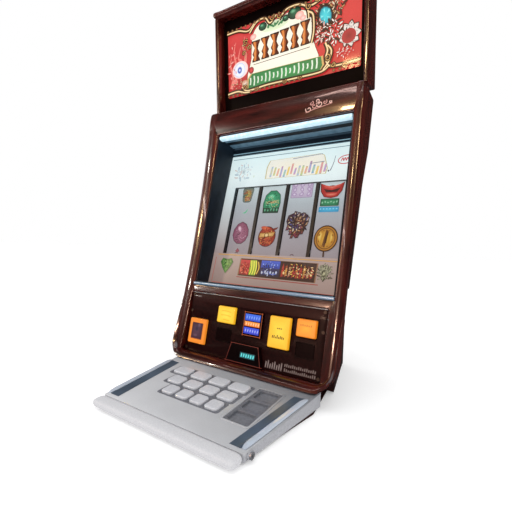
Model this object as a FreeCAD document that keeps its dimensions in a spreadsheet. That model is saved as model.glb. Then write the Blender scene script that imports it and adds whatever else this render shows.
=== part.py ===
import FreeCAD, Part
import math
import os
import re
import Sketcher

# Reel-strip gaming cabinet: reclined front door, lit marquee box above, key deck in front.
# Origin: middle of the footprint line between deck and cabinet, on the resting plane.
# +X to the player's right, +Y to the back of the machine, +Z up. Millimetres.

SIZES = {
    "machine_width": 480, "sheet": 3, "running_gap": 0.3,
    # reclined front door
    "face_lean": 10.66, "face_y": -35.5, "face_z": 92, "face_low": -47, "face_high": 684,
    "face_sagitta": 13, "face_chord": 664, "door_plate": 28, "door_depth": 104,
    "door_corner": 50, "return_width": 14, "opening_half": 205, "opening_low": 149,
    "opening_high": 612, "panel_half": 207, "panel_low": -37, "panel_high": 129,
    "chin_lip": 20.4, "chin_drop": 56.7, "chin_back": 28, "pan_half": 212, "pan_low": -38, "pan_high": 676,
    # recess and reel window
    "display_depth": 66, "display_base": 180, "display_tilt": 3.8, "glass_thick": 4,
    "glass_half": 208, "glass_low": -28, "glass_high": 442, "art_thick": 2,
    "reel_centre": 17, "reel_pitch": 92.3, "window_width": 83, "window_low": 77,
    "window_high": 289, "lip_height": 9, "lamp_low": 594, "lamp_high": 608,
    # strip reels
    "belt_face": 9, "belt_thick": 1.2, "belt_width": 80, "roller_radius": 30,
    "roller_width": 76, "roller_low": 66, "roller_high": 300, "shaft_radius": 4,
    "shaft_gap": 0.05, "motor_size": 42,
    # button panel
    "panel_face": 12, "panel_thick": 3, "button_face": 5, "button_depth": 12,
    "button_stem": 12, "button_travel": 3, "cup_wall": 4, "cup_depth": 24,
    # tapered cabinet
    "cabinet_half": 206, "cabinet_back_half": 150, "cabinet_front": 60, "cabinet_back": 300,
    "cabinet_top": 750, "collar_low": 190, "collar_near": 46,
    "collar_far": 78, "base_thick": 5, "cover_half": 115,
    "cover_low": 70, "cover_high": 420, "fan_size": 92, "fan_depth": 25, "fan_z": 330,
    "fan_radius": 38, "hub_radius": 15,
    # key deck
    "deck_y": -66, "deck_z": 38, "deck_slope": 4.1, "deck_rear": 34, "deck_front": -231,
    "deck_rear_half": 209, "deck_front_half": 183, "deck_plate": 4, "key_depth": 34,
    "key_proud": 5, "key_skirt": 3, "key_stem": 8, "key_stem_length": 11,
    "key_gap": 0.4, "rail_width": 9, "rail_height": 5, "rest_depth": 31, "rest_height": 17,
    "pocket_width": 46, "pocket_x": 119, "tray_half": 29, "tray_rear": -30,
    "tray_front": -168, "tray_depth": 8, "lock_radius": 5, "lock_y": -280, "lock_z": 12.5,
    # marquee box
    "top_y": 115.5, "top_z": 772, "top_lean": 5.1, "top_height": 311, "top_depth": 68,
    "column_width": 13, "rail_low": 5, "crown_height": 20, "bezel_depth": 30,
    "rail_high": "=top_height - crown_height - 1", "marquee_band": 32,
    "bezel_thick": 6, "marquee_half": 212, "marquee_low": 54,
    "marquee_high": "=rail_high - marquee_band",
    "pin_radius": 3, "pin_drop": 4, "crown_reach": 5, "crown_over": 2,
}

doc = FreeCAD.newDocument("reel_cabinet")
sheet = doc.addObject("Spreadsheet::Sheet", "sizes")
for row, (alias, value) in enumerate(SIZES.items(), start=1):
    sheet.set(f"A{row}", alias)
    sheet.set(f"B{row}", str(value))
    sheet.setAlias(f"B{row}", alias)
doc.recompute()

V = FreeCAD.Vector
ALONG_X = V(1, 0, 0)
WORKED = {}


def size(text):
    """Value of a length written with sheet names, worked out by the sheet."""
    if text not in WORKED:
        WORKED[text] = f"D{len(WORKED) + 1}"
        sheet.set(WORKED[text], "=" + text)
        sheet.recompute()
    return float(sheet.get(WORKED[text]))


def linked(text):
    """Expression text with every sheet name pointing at the sheet."""
    return re.sub(r"[a-z]+(_[a-z]+)+|sheet", lambda m: "sizes." + m.group(0), str(text))


def fresh(kind, name):
    return doc.addObject(kind, name)


def seat(obj, x, y, z, turn=None):
    """Bind the base of an object's placement, with an optional fixed turn."""
    if turn:
        obj.Placement = FreeCAD.Placement(V(0, 0, 0), turn)
    for axis, text in zip("xyz", (x, y, z)):
        obj.setExpression("Placement.Base." + axis, linked(text))
    return obj


def box(name, x, y, z):
    """Box from three (low, high) pairs."""
    obj = fresh("Part::Box", name)
    for prop, (low, high) in zip(("Length", "Width", "Height"), (x, y, z)):
        obj.setExpression(prop, linked(f"({high}) - ({low})"))
    return seat(obj, x[0], y[0], z[0])


TURNS = {
    "x": FreeCAD.Rotation(V(0, 1, 0), 90),
    "y": FreeCAD.Rotation(V(1, 0, 0), -90),
    "z": FreeCAD.Rotation(),
}


def rod(name, radius, length, start, axis="z"):
    """Cylinder that leaves the start point along one axis."""
    obj = fresh("Part::Cylinder", name)
    obj.setExpression("Radius", linked(radius))
    obj.setExpression("Height", linked(length))
    return seat(obj, *start, TURNS[axis])


def taper(name, y, low_x, high_x, z):
    """Upright wedge whose x range changes from the first y to the second."""
    obj = fresh("Part::Wedge", name)
    ends = {
        "Ymin": y[0], "Ymax": y[1], "Xmin": low_x[0], "Xmax": low_x[1],
        "X2min": high_x[0], "X2max": high_x[1], "Zmin": z[0], "Zmax": z[1],
        "Z2min": z[0], "Z2max": z[1],
    }
    for prop, text in ends.items():
        obj.setExpression(prop, linked(text))
    return obj


def outline(name, points, plane, start, length):
    """Straight-sided sketch on the yz or xz plane, pushed out square to it."""
    sketch = fresh("Sketcher::SketchObject", name + "_line")
    corners = [V(size(u), size(v), 0) for u, v in points]
    count = len(points)
    for i in range(count):
        sketch.addGeometry(Part.LineSegment(corners[i], corners[(i + 1) % count]))
    for i, (u, v) in enumerate(points):
        sketch.addConstraint(Sketcher.Constraint("Coincident", i, 2, (i + 1) % count, 1))
        for kind, text in (("DistanceX", u), ("DistanceY", v)):
            index = sketch.addConstraint(Sketcher.Constraint(kind, -1, 1, i, 1, size(text)))
            sketch.setExpression(f"Constraints[{index}]", linked(text))
    if plane == "yz":
        seat(sketch, start, "0", "0", FreeCAD.Rotation(V(1, 1, 1), 120))
    else:
        seat(sketch, "0", start, "0", FreeCAD.Rotation(ALONG_X, 90))
    solid = fresh("Part::Extrusion", name)
    solid.Base = sketch
    solid.DirMode = "Custom"
    solid.Dir = ALONG_X if plane == "yz" else V(0, 1, 0)
    solid.Solid = True
    solid.setExpression("LengthFwd", linked(length))
    return solid


def joined(name, *pieces):
    obj = fresh("Part::MultiFuse", name)
    obj.Shapes = list(pieces)
    return obj


def minus(name, base, *tools):
    obj = fresh("Part::Cut", name)
    obj.Base = base
    obj.Tool = tools[0] if len(tools) == 1 else joined(name + "_tools", *tools)
    return obj


def held(name, placement, *pieces):
    obj = fresh("Part::Compound", name)
    obj.Links = list(pieces)
    obj.Placement = placement
    return obj


PARTS = []


def sub_part(label, placement, *pieces):
    """Register one named sub-part of the assembly."""
    obj = held(label, placement, *pieces)
    obj.Label = label
    PARTS.append(obj)
    return obj


def turned(x, y, z, degrees):
    return FreeCAD.Placement(V(x, y, z), FreeCAD.Rotation(ALONG_X, degrees))


HERE = FreeCAD.Placement()
FACE = turned(0, size("face_y"), size("face_z"), -size("face_lean"))
DISPLAY_IN_FACE = turned(0, size("display_depth"), size("display_base"), -size("display_tilt"))
DISPLAY = FACE.multiply(DISPLAY_IN_FACE)
DECK = turned(0, size("deck_y"), size("deck_z"), size("deck_slope"))
TOP = turned(0, size("top_y"), size("top_z"), size("top_lean"))

HALF = "machine_width/2"
ROOM = "machine_width"


def both(text):
    """Symmetric (low, high) pair about the middle plane."""
    return (f"-({text})", text)


# ---------------------------------------------------------------- front door
door_block = box("door_block", both(HALF), ("0 - door_plate", "door_plate"),
                 ("face_low", "face_high"))
face_arc = "face_chord^2/8/face_sagitta + face_sagitta/2"
face_curve = rod("face_curve", face_arc, "machine_width + 20",
                 (f"-{HALF} - 10", f"face_sagitta - ({face_arc})", "face_chord/2"), "x")
door_open = box("door_open", both("opening_half"), ("-60", "60"),
                ("opening_low", "opening_high"))
panel_open = box("panel_open", both("panel_half"), ("-60", "60"), ("panel_low", "panel_high"))
corner_cuts = []
for side, low in (("left", f"-{HALF}"), ("right", f"{HALF} - door_corner")):
    square = box(f"corner_square_{side}", (low, f"{low} + door_corner"), ("-60", "60"),
                 ("face_low", "face_low + door_corner"))
    centre = f"-{HALF} + door_corner" if side == "left" else f"{HALF} - door_corner"
    disc = rod(f"corner_disc_{side}", "door_corner", "140",
               (centre, "-70", "face_low + door_corner"), "y")
    corner_cuts.append(minus(f"corner_cut_{side}", square, disc))
door_ring = minus("door_ring", door_block, face_curve, door_open, panel_open, *corner_cuts)
chin = outline("chin", [("door_plate", "panel_low"), ("-5", "panel_low"),
                        ("0 - chin_lip/2", "0 - chin_drop + 9"),
                        ("0 - chin_lip", "0 - chin_drop"), ("chin_back", "face_low")],
               "yz", f"-{HALF} + door_corner", "machine_width - 2*door_corner")
returns = []
for side, start in (("left", f"-{HALF}"), ("right", f"{HALF} - return_width")):
    returns.append(outline(f"return_{side}",
                           [("door_plate - 4", "200"), ("door_plate", "200"), ("44", "360"),
                            ("82", "540"), ("86", "face_high"),
                            ("door_plate - 4", "face_high")],
                           "yz", start, "return_width"))
sub_part("door_frame", FACE, joined("door_frame_solid", door_ring, chin, *returns))

pan_outer = box("pan_outer", both("pan_half"), ("door_plate", "door_depth - running_gap"),
                ("pan_low", "pan_high"))
pan_inner = box("pan_inner", both("pan_half - sheet"), ("0", "200"),
                ("pan_low + sheet", "pan_high - sheet"))
sub_part("door_pan", FACE, minus("door_pan_solid", pan_outer, pan_inner))

liner_outer = box("liner_outer", both("opening_half"), ("panel_face", "door_depth"),
                  ("opening_low + lip_height", "opening_high"))
liner_inner = box("liner_inner", both("opening_half - sheet"), ("-10", "200"),
                  ("opening_low + lip_height + sheet", "opening_high - sheet"))
behind_glass = held("behind_glass", DISPLAY_IN_FACE,
                    box("behind_block", both("400"), ("0", "200"), ("-300", "700")))
sub_part("window_bezel", FACE,
         minus("window_bezel_solid", liner_outer, liner_inner, behind_glass))

sub_part("sill_lip", FACE,
         box("sill_bar", both("opening_half"), ("4", "22"),
             ("opening_low", "opening_low + lip_height")))
sub_part("light_bar", FACE,
         box("light_bar_solid", both("opening_half - sheet"), ("16", "34"),
             ("lamp_low + 1", "lamp_high + 1")))

glass = box("glass_sheet", both("glass_half"), ("0", "glass_thick"), ("glass_low", "glass_high"))
sub_part("display_glass", DISPLAY, glass)

art_sheet = box("art_sheet", both("glass_half"), ("glass_thick", "glass_thick + art_thick"),
                ("glass_low", "glass_high"))
art_windows = []
for k in range(4):
    middle = f"reel_centre + ({k} - 1.5)*reel_pitch"
    art_windows.append(box(f"art_window_{k}",
                           (f"{middle} - window_width/2", f"{middle} + window_width/2"),
                           ("0", "20"), ("window_low", "window_high")))
sub_part("art_panel", DISPLAY, minus("art_panel_solid", art_sheet, *art_windows))

# ---------------------------------------------------------------- button panel
PANEL_BUTTONS = {
    "panel_button_left": (-165, 21, 60, 69),
    "panel_button_bet": (-73.5, 78, 58, 45),
    "panel_button_play": (90, 57.5, 58, 77),
    "panel_button_right": (159, 78, 50, 42),
}
CREDIT = (11, 65, 58, 64)
panel_sheet = box("panel_sheet", both("panel_half"), ("panel_face", "panel_face + panel_thick"),
                  ("panel_low", "panel_high"))


def window_block(name, spot, grow, depth):
    """Box in the panel around a (x, s, width, height) spot."""
    x, s, wide, tall = spot
    return box(name, (f"{x - wide / 2} - {grow}", f"{x + wide / 2} + {grow}"), depth,
               (f"{s - tall / 2} - {grow}", f"{s + tall / 2} + {grow}"))


panel_cuts = [window_block(f"hole_{name}", spot, "running_gap", ("0", "30"))
              for name, spot in PANEL_BUTTONS.items()]
panel_cuts.append(window_block("hole_credit", CREDIT, "0", ("0", "30")))
SCREWS = [(x, s) for x in (-199, 199) for s in (-28, 75, 121)]
for i, (x, s) in enumerate(SCREWS):
    panel_cuts.append(rod(f"screw_hole_{i}", "2.1", "30", (str(x), "0", str(s)), "y"))
sub_part("button_panel", FACE, minus("button_panel_solid", panel_sheet, *panel_cuts))

cup_back = "panel_face + panel_thick + cup_depth"
cup_floor = "button_face + button_depth + button_travel + running_gap"
cups = []
for name, spot in PANEL_BUTTONS.items():
    x, s, wide, tall = spot
    cap = window_block(f"{name}_cap", spot, "0", ("button_face", "button_face + button_depth"))
    stem = box(f"{name}_stem", (f"{x} - button_stem/2", f"{x} + button_stem/2"),
               ("button_face + button_depth", f"({cup_back}) - button_travel"),
               (f"{s} - button_stem/2", f"{s} + button_stem/2"))
    sub_part(name, FACE, joined(f"{name}_solid", cap, stem))
    outer = window_block(f"{name}_cup_outer", spot, "cup_wall",
                         ("panel_face + panel_thick", cup_back))
    inner = window_block(f"{name}_cup_inner", spot, "1", ("panel_face", cup_floor))
    bore = box(f"{name}_cup_bore",
               (f"{x} - button_stem/2 - running_gap", f"{x} + button_stem/2 + running_gap"),
               ("0", "60"),
               (f"{s} - button_stem/2 - running_gap", f"{s} + button_stem/2 + running_gap"))
    cups.append(minus(f"{name}_cup", outer, inner, bore))
sub_part("button_cups", FACE, *cups)

sub_part("credit_display", FACE,
         window_block("credit_body", CREDIT, "0", ("8", "30")))
sub_part("label_housing", FACE,
         outline("label_housing_solid", [("-40", "14"), ("43", "14"), ("56", "-35"),
                                         ("-52", "-35")], "xz", "-1", "panel_face + 1"))
screws = []
for i, (x, s) in enumerate(SCREWS):
    head = rod(f"screw_head_{i}", "4", "2", (str(x), "panel_face - 2", str(s)), "y")
    shank = rod(f"screw_shank_{i}", "2", "10", (str(x), "panel_face", str(s)), "y")
    screws.append(joined(f"screw_{i}", head, shank))
sub_part("panel_screws", FACE, *screws)

# ---------------------------------------------------------------- door hinge
HINGE_X = "0 - pan_half - 10"
hinge_radius = "6.5"
door_knuckles = []
fixed_knuckles = []
for i, low in enumerate((40, 330, 600)):
    for part_list, start, label in ((door_knuckles, low, "door"), (fixed_knuckles, low + 30.5, "post")):
        tube = rod(f"knuckle_{label}_{i}", hinge_radius, "30", (HINGE_X, "door_depth", str(start)))
        bore = rod(f"knuckle_bore_{label}_{i}", "pin_radius + shaft_gap", "40",
                   (HINGE_X, "door_depth", str(start - 5)))
        if label == "door":
            leaf = box(f"leaf_{label}_{i}", (HINGE_X, "0 - pan_half"),
                       ("door_depth - 6.5", "door_depth - 3.5"), (str(start), str(start + 30)))
            piece = joined(f"leaf_tube_{label}_{i}", tube, leaf)
        else:
            leaf = box(f"leaf_{label}_{i}", (HINGE_X, "0 - cabinet_half"),
                       ("door_depth + 3.5", "door_depth + 6.5"), (str(start), str(start + 30)))
            foot = box(f"foot_{label}_{i}", ("0 - cabinet_half - 3", "0 - cabinet_half"),
                       ("door_depth + 3.5", "door_depth + 30"), (str(start), str(start + 30)))
            piece = joined(f"leaf_tube_{label}_{i}", tube, leaf, foot)
        part_list.append(minus(f"hinge_{label}_{i}", piece, bore))
sub_part("hinge_door_leaves", FACE, *door_knuckles)
pins = [rod(f"hinge_pin_{i}", "pin_radius", "61", (HINGE_X, "door_depth", str(low)))
        for i, low in enumerate((40, 330, 600))]
sub_part("hinge_post_leaves", FACE, *fixed_knuckles, *pins)

# ---------------------------------------------------------------- strip reels
axle_depth = "belt_face + belt_thick + running_gap + roller_radius"
belt_inner = "roller_radius + running_gap"
belt_outer = "roller_radius + running_gap + belt_thick"


def loop_block(name, radius, low_x, high_x):
    """Upright loop form: a slab with a full round at each end."""
    slab = box(f"{name}_slab", (low_x, high_x),
               (f"{axle_depth} - ({radius})", f"{axle_depth} + {radius}"),
               ("roller_low", "roller_high"))
    ends = [rod(f"{name}_end_{i}", radius, f"({high_x}) - ({low_x})",
                (low_x, axle_depth, level), "x")
            for i, level in enumerate(("roller_low", "roller_high"))]
    return joined(f"{name}_loop", slab, *ends)


strips = []
motors = []
shoes = []
for k in range(4):
    middle = f"reel_centre + ({k} - 1.5)*reel_pitch"
    edges = (f"{middle} - belt_width/2", f"{middle} + belt_width/2")
    skin = loop_block(f"belt_skin_{k}", belt_outer, *edges)
    hollow = loop_block(f"belt_hollow_{k}", belt_inner, f"{edges[0]} - 2", f"{edges[1]} + 2")
    strips.append(minus(f"reel_strip_{k}", skin, hollow))
    start = (f"{middle} - roller_width/2", axle_depth, "roller_high")
    drum = rod(f"roller_drum_{k}", "roller_radius", "roller_width", start, "x")
    through = f"{middle} - roller_width/2 - 2"
    bore = rod(f"roller_bore_{k}", "shaft_radius + shaft_gap", "roller_width + 4",
               (through, axle_depth, "roller_high"), "x")
    slots = [rod(f"roller_slot_{k}_{j}", "6", "roller_width + 4",
                 (through, f"{axle_depth} + {17 * math.cos(j * math.pi / 2):.3f}",
                  f"roller_high + {17 * math.sin(j * math.pi / 2):.3f}"), "x")
             for j in range(4)]
    sub_part(f"drive_roller_{k + 1}", DISPLAY, minus(f"roller_solid_{k}", drum, bore, *slots))
    shoes.append(rod(f"shoe_{k}", "roller_radius", "roller_width",
                     (f"{middle} - roller_width/2", axle_depth, "roller_low"), "x"))
    motors.append(box(f"motor_{k}", (f"{middle} - motor_size/2", f"{middle} + motor_size/2"),
                      ("belt_face + belt_thick + 2", "belt_face + belt_thick + 42"),
                      ("162", "162 + motor_size")))
sub_part("reel_strips", DISPLAY, *strips)
sub_part("reel_motors", DISPLAY, *motors)

frame_low = "reel_centre - 2*reel_pitch"
frame_high = "reel_centre + 2*reel_pitch"
plate_span = ("roller_low - 38", "roller_high + 38")
left_plate = box("reel_left_plate", (frame_low, f"{frame_low} + sheet"), ("11.5", "76"),
                 plate_span)
right_plate = box("reel_right_plate", (f"{frame_high} - sheet", frame_high), ("11.5", "76"),
                  plate_span)
guide = box("reel_guide", (frame_low, frame_high),
            ("belt_face + belt_thick", "belt_face + belt_thick + 2"), ("98", "268"))
back_bars = [box("reel_floor", (frame_low, frame_high), ("20", "76"),
                 ("roller_low - 38", "roller_low - 35")),
             box("reel_roof", (frame_low, frame_high), ("20", "76"),
                 ("roller_high + 35", "roller_high + 38"))]
wings = [box(f"reel_wing_{i}", (low, high), ("56", "70"), ("60", "120"))
         for i, (low, high) in enumerate((("sheet - cabinet_half", frame_low),
                                          (frame_high, "cabinet_half - sheet")))]
shaft_holes = [rod(f"shaft_hole_{i}", "shaft_radius", ROOM,
                   ("0 - cabinet_half", axle_depth, level), "x")
               for i, level in enumerate(("roller_low", "roller_high"))]
sub_part("reel_frame", DISPLAY,
         minus("reel_frame_solid", joined("reel_frame_body", left_plate, right_plate, guide,
                                          *shoes, *back_bars, *wings), *shaft_holes))
sub_part("reel_shafts", DISPLAY,
         *[rod(f"reel_shaft_{i}", "shaft_radius", "4*reel_pitch", (frame_low, axle_depth, level),
               "x") for i, level in enumerate(("roller_low", "roller_high"))])

# ---------------------------------------------------------------- cabinet
def cabinet_form(name, inset):
    """Tapered rear case joined to the reclined collar, shrunk by an inset."""
    case = taper(f"{name}_case", (f"cabinet_front + {inset}", f"cabinet_back - {inset}"),
                 (f"-(cabinet_half - {inset})", f"cabinet_half - {inset}"),
                 (f"-(cabinet_back_half - {inset})", f"cabinet_back_half - {inset}"),
                 (f"base_thick + {inset}", f"cabinet_top - {inset}"))
    near = f"door_depth + collar_near - {inset}"
    far = f"door_depth + collar_far - {inset}"
    foot = f"collar_low + {inset}"
    collar = held(f"{name}_collar", FACE,
                  outline(f"{name}_collar_form",
                          [("door_depth - 50", foot), (near, foot), (far, "560"),
                           (far, "800"), ("door_depth - 50", "800")],
                          "yz", f"0 - cabinet_half + {inset}", f"2*(cabinet_half - {inset})"))
    return joined(f"{name}_form", case, collar)


front_trim = held("front_trim", FACE,
                  box("front_trim_box", both("400"), ("-300", "door_depth"), ("-400", "900")))
above_trim = box("above_trim", both("400"), ("-100", "500"), ("cabinet_top", "1200"))
open_inside = cabinet_form("cabinet_inside", "sheet")
inner_lid = box("inner_lid", both("400"), ("-100", "500"), ("cabinet_top - sheet", "1200"))
inside = minus("cabinet_hollow", open_inside, inner_lid)
back_opening = box("back_opening", both("cover_half - 10"), ("cabinet_back - 20", "400"),
                   ("cover_low + 10", "cover_high - 10"))
inlet_opening = box("inlet_opening", ("-100", "-60"), ("cabinet_back - 20", "400"), ("20", "50"))
sub_part("cabinet_shell", HERE,
         minus("cabinet_shell_solid", cabinet_form("cabinet_outside", "0"), inside, front_trim,
               above_trim, back_opening, inlet_opening))
sub_part("power_inlet", HERE,
         joined("power_inlet_solid",
                box("inlet_body", ("-100", "-60"), ("cabinet_back - 24", "cabinet_back"),
                    ("20", "50")),
                box("inlet_flange", ("-106", "-54"), ("cabinet_back", "cabinet_back + 3"),
                    ("15", "55"))))

cover_plate = box("cover_plate", both("cover_half"), ("cabinet_back", "cabinet_back + sheet"),
                  ("cover_low", "cover_high"))
vent_slots = [box(f"vent_slot_{i}", both("70"), ("cabinet_back - 10", "400"),
                  (str(110 + 18 * i), str(118 + 18 * i))) for i in range(7)]
fan_window = rod("fan_window", "fan_radius + 2", "60", ("0", "cabinet_back - 10", "fan_z"), "y")
guard_bars = [box(f"guard_bar_{i}", (str(-31.5 + 15 * i), str(-28.5 + 15 * i)),
                  ("cabinet_back", "cabinet_back + sheet"), ("fan_z - 45", "fan_z + 45"))
              for i in range(5)]
sub_part("rear_cover", HERE,
         joined("rear_cover_solid", minus("rear_cover_cut", cover_plate, fan_window, *vent_slots),
                *guard_bars))
cover_screws = [rod(f"cover_screw_{i}", "4", "2", (str(x), "cabinet_back + sheet", str(z)), "y")
                for i, (x, z) in enumerate((x, z) for x in (-108, 108) for z in (80, 245, 410))]
sub_part("cover_screws", HERE, *cover_screws)

fan_y = ("cabinet_back - fan_depth", "cabinet_back")
fan_block = box("fan_block", both("fan_size/2"), fan_y,
                ("fan_z - fan_size/2", "fan_z + fan_size/2"))
fan_bore = rod("fan_bore", "fan_radius + 2", "60", ("0", "cabinet_back - 40", "fan_z"), "y")
fan_arms = [box("fan_arm_level", both("fan_radius + 4"),
                ("cabinet_back - fan_depth", "cabinet_back - fan_depth + 3"),
                ("fan_z - 3", "fan_z + 3")),
            box("fan_arm_upright", ("-3", "3"),
                ("cabinet_back - fan_depth", "cabinet_back - fan_depth + 3"),
                ("fan_z - fan_radius - 4", "fan_z + fan_radius + 4"))]
fan_pin = rod("fan_pin", "2", "fan_depth - 4", ("0", "cabinet_back - fan_depth", "fan_z"), "y")
sub_part("fan_frame", HERE,
         joined("fan_frame_solid", minus("fan_ring", fan_block, fan_bore), *fan_arms, fan_pin))
hub = rod("fan_hub", "hub_radius", "16", ("0", "cabinet_back - fan_depth + 4", "fan_z"), "y")
blades = []
for i in range(7):
    blade = fresh("Part::Box", f"fan_blade_{i}")
    blade.setExpression("Length", linked("fan_radius - hub_radius + 4"))
    blade.Width = 14
    blade.Height = 2
    around = FreeCAD.Rotation(V(0, 1, 0), 360 * i / 7)
    pitch = FreeCAD.Rotation(ALONG_X, 28)
    reach = around.multVec(V(size("hub_radius") - 5, -6, -4))
    blade.Placement = FreeCAD.Placement(
        reach + V(0, size("cabinet_back - fan_depth + 12"), size("fan_z")), around.multiply(pitch))
    blades.append(blade)
hub_bore = rod("hub_bore", "2 + shaft_gap", "60", ("0", "cabinet_back - 60", "fan_z"), "y")
sub_part("fan_rotor", HERE, minus("fan_rotor_solid", joined("fan_body", hub, *blades), hub_bore))

sub_part("power_supply", HERE,
         box("power_supply_box", ("-130", "-30"), ("130", "240"), ("base_thick + sheet", "80")))
sub_part("logic_box", HERE,
         box("logic_box_body", ("-10", "120"), ("130", "240"), ("base_thick + sheet", "170")))

base_rear = taper("base_rear", ("deck_y", "cabinet_back"),
                  ("0 - cabinet_half", "cabinet_half"),
                  ("0 - cabinet_back_half", "cabinet_back_half"), ("0", "base_thick"))
base_front = taper("base_front", ("-296", "deck_y"), ("-172", "172"),
                   ("0 - cabinet_half", "cabinet_half"), ("0", "base_thick"))
bolt_holes = [rod(f"bolt_hole_{i}", "4.5", "20", (str(x), str(y), "-5"))
              for i, (x, y) in enumerate((x, y) for x in (-110, 110) for y in (90, 270))]
sub_part("base_plate", HERE,
         minus("base_plate_solid", joined("base_sheet", base_rear, base_front), *bolt_holes))

# ---------------------------------------------------------------- key deck
def deck_taper(name, y, inset, z):
    """Deck plan, narrowing to the front, between two depths along the deck."""
    slope = "(deck_rear_half - deck_front_half)/(deck_rear - deck_front)"
    near = f"deck_front_half + ({y[0]} - deck_front)*{slope} - {inset}"
    far = f"deck_front_half + ({y[1]} - deck_front)*{slope} - {inset}"
    return taper(name, y, both(near), both(far), z)


KEY_ROWS = ((-55, 56, 4), (-99, 49, 4), (-142, 41, 4))
KEYS = []
for row, (level, pitch, count) in enumerate(KEY_ROWS):
    for column in range(count):
        KEYS.append((f"deck_key_{row + 1}{column + 1}", 50 - pitch * column, level, pitch - 8))


def key_block(name, key, grow, z):
    _, x, y, wide = key
    return box(name, (f"{x - wide / 2} - {grow}", f"{x + wide / 2} + {grow}"),
               (f"{y} - key_depth/2 - {grow}", f"{y} + key_depth/2 + {grow}"), z)


def stem_block(name, key, grow, z):
    _, x, y, _ = key
    return box(name, (f"{x} - key_stem/2 - {grow}", f"{x} + key_stem/2 + {grow}"),
               (f"{y} - key_stem/2 - {grow}", f"{y} + key_stem/2 + {grow}"), z)


tray_x = ("pocket_x - tray_half", "pocket_x + tray_half")
tray_y = ("tray_front", "tray_rear")
key_holes = [key_block(f"hole_{key[0]}", key, "key_gap", ("-20", "20")) for key in KEYS]
tray_hole = box("tray_hole", tray_x, tray_y, ("-20", "20"))
sub_part("deck_plate", DECK,
         minus("deck_plate_solid",
               deck_taper("deck_sheet", ("deck_front", "deck_rear"), "0", ("0 - deck_plate", "0")),
               *key_holes, tray_hole))
for key in KEYS:
    cap = key_block(f"{key[0]}_cap", key, "0", ("0 - key_skirt", "key_proud"))
    stem = stem_block(f"{key[0]}_stem", key, "0",
                      ("0 - key_skirt - key_stem_length", "0 - key_skirt"))
    sub_part(key[0], DECK, joined(f"{key[0]}_solid", cap, stem))
guide_sheet = box("key_guide_sheet", ("-150", "84"), ("-164", "-32"), ("-12", "-9"))
guide_holes = [stem_block(f"guide_{key[0]}", key, "key_gap", ("-20", "0")) for key in KEYS]
guide_rims = [box("key_guide_left", ("-150", "-146"), ("-164", "-32"), ("-12", "0 - deck_plate")),
              box("key_guide_right", ("80", "84"), ("-164", "-32"), ("-12", "0 - deck_plate"))]
sub_part("key_guide", DECK,
         joined("key_guide_solid", minus("key_guide_cut", guide_sheet, *guide_holes),
                *guide_rims))

tray_block = box("tray_block", tray_x, tray_y, ("0 - tray_depth", "0"))
pockets = [box(f"pocket_{row}", ("pocket_x - pocket_width/2", "pocket_x + pocket_width/2"),
               (f"{level} - key_depth/2", f"{level} + key_depth/2"), ("2 - tray_depth", "10"))
           for row, (level, _, _) in enumerate(KEY_ROWS)]
sub_part("pocket_tray", DECK, minus("pocket_tray_solid", tray_block, *pockets))

rail_turn = 6.2
rails = []
for side, sign in (("left", -1), ("right", 1)):
    rail = box(f"rail_{side}_bar", both("rail_width/2"), ("-225", "-20"), ("0", "rail_height"))
    turn = FreeCAD.Placement(V(sign * (size("deck_rear_half") - 7), 0, 0),
                             FreeCAD.Rotation(V(0, 0, 1), -sign * rail_turn))
    rails.append(held(f"rail_{side}_set", turn, rail))
sub_part("chrome_rails", DECK, *rails)

rest_block = box("rest_block", both("deck_front_half"), ("deck_front - rest_depth", "deck_front"),
                 ("0 - rest_height + 2", "2"))
doc.recompute()
rest_soft = fresh("Part::Fillet", "rest_soft")
rest_soft.Base = rest_block
rest_soft.Edges = [(i + 1, 7, 7) for i, edge in enumerate(rest_block.Shape.Edges)
                   if abs(edge.Vertexes[0].Y - edge.Vertexes[-1].Y) < 1e-6
                   and edge.Vertexes[0].Y < size("deck_front - rest_depth + 1")]
sub_part("arm_rest", DECK, rest_soft)

under_plate = held("under_plate", DECK,
                   box("under_plate_box", both("400"), ("-400", "200"), ("0 - deck_plate", "200")))
house_outer = deck_taper("house_outer", ("deck_front + 1.8", "deck_rear - 1"), "1",
                         ("base_thick - deck_z", "20"))
house_inner = deck_taper("house_inner", ("deck_front + 4", "deck_rear - 4"), "4",
                         ("base_thick - deck_z - 10", "30"))
level_shift = FreeCAD.Placement(V(0, size("deck_y"), size("deck_z")), FreeCAD.Rotation())
boss_x = ("176", "187")
boss = rod("lock_boss", "lock_radius + 2", "11", (boss_x[0], "lock_y", "lock_z"), "x")
boss_bore = rod("lock_bore", "lock_radius + shaft_gap", "40", ("160", "lock_y", "lock_z"), "x")
sub_part("deck_housing", HERE,
         minus("deck_housing_solid",
               joined("deck_housing_body",
                      held("house_set", level_shift,
                           minus("house_shell", house_outer, house_inner)), boss),
               under_plate, boss_bore))
lock_barrel = rod("lock_barrel", "lock_radius", "15", ("172.5", "lock_y", "lock_z"), "x")
lock_head = rod("lock_head", "lock_radius + 1.8", "3", ("187.3", "lock_y", "lock_z"), "x")
lock_cam = box("lock_cam", ("172.5", "175.5"), ("lock_y - 3", "lock_y + 3"),
               ("lock_z - 4", "lock_z + 4.6"))
key_slot = box("lock_key_slot", ("189", "195"), ("lock_y - 0.8", "lock_y + 0.8"),
               ("lock_z - 3.5", "lock_z + 3.5"))
sub_part("deck_lock", HERE,
         minus("deck_lock_solid", joined("deck_lock_body", lock_barrel, lock_head, lock_cam),
               key_slot))

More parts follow.
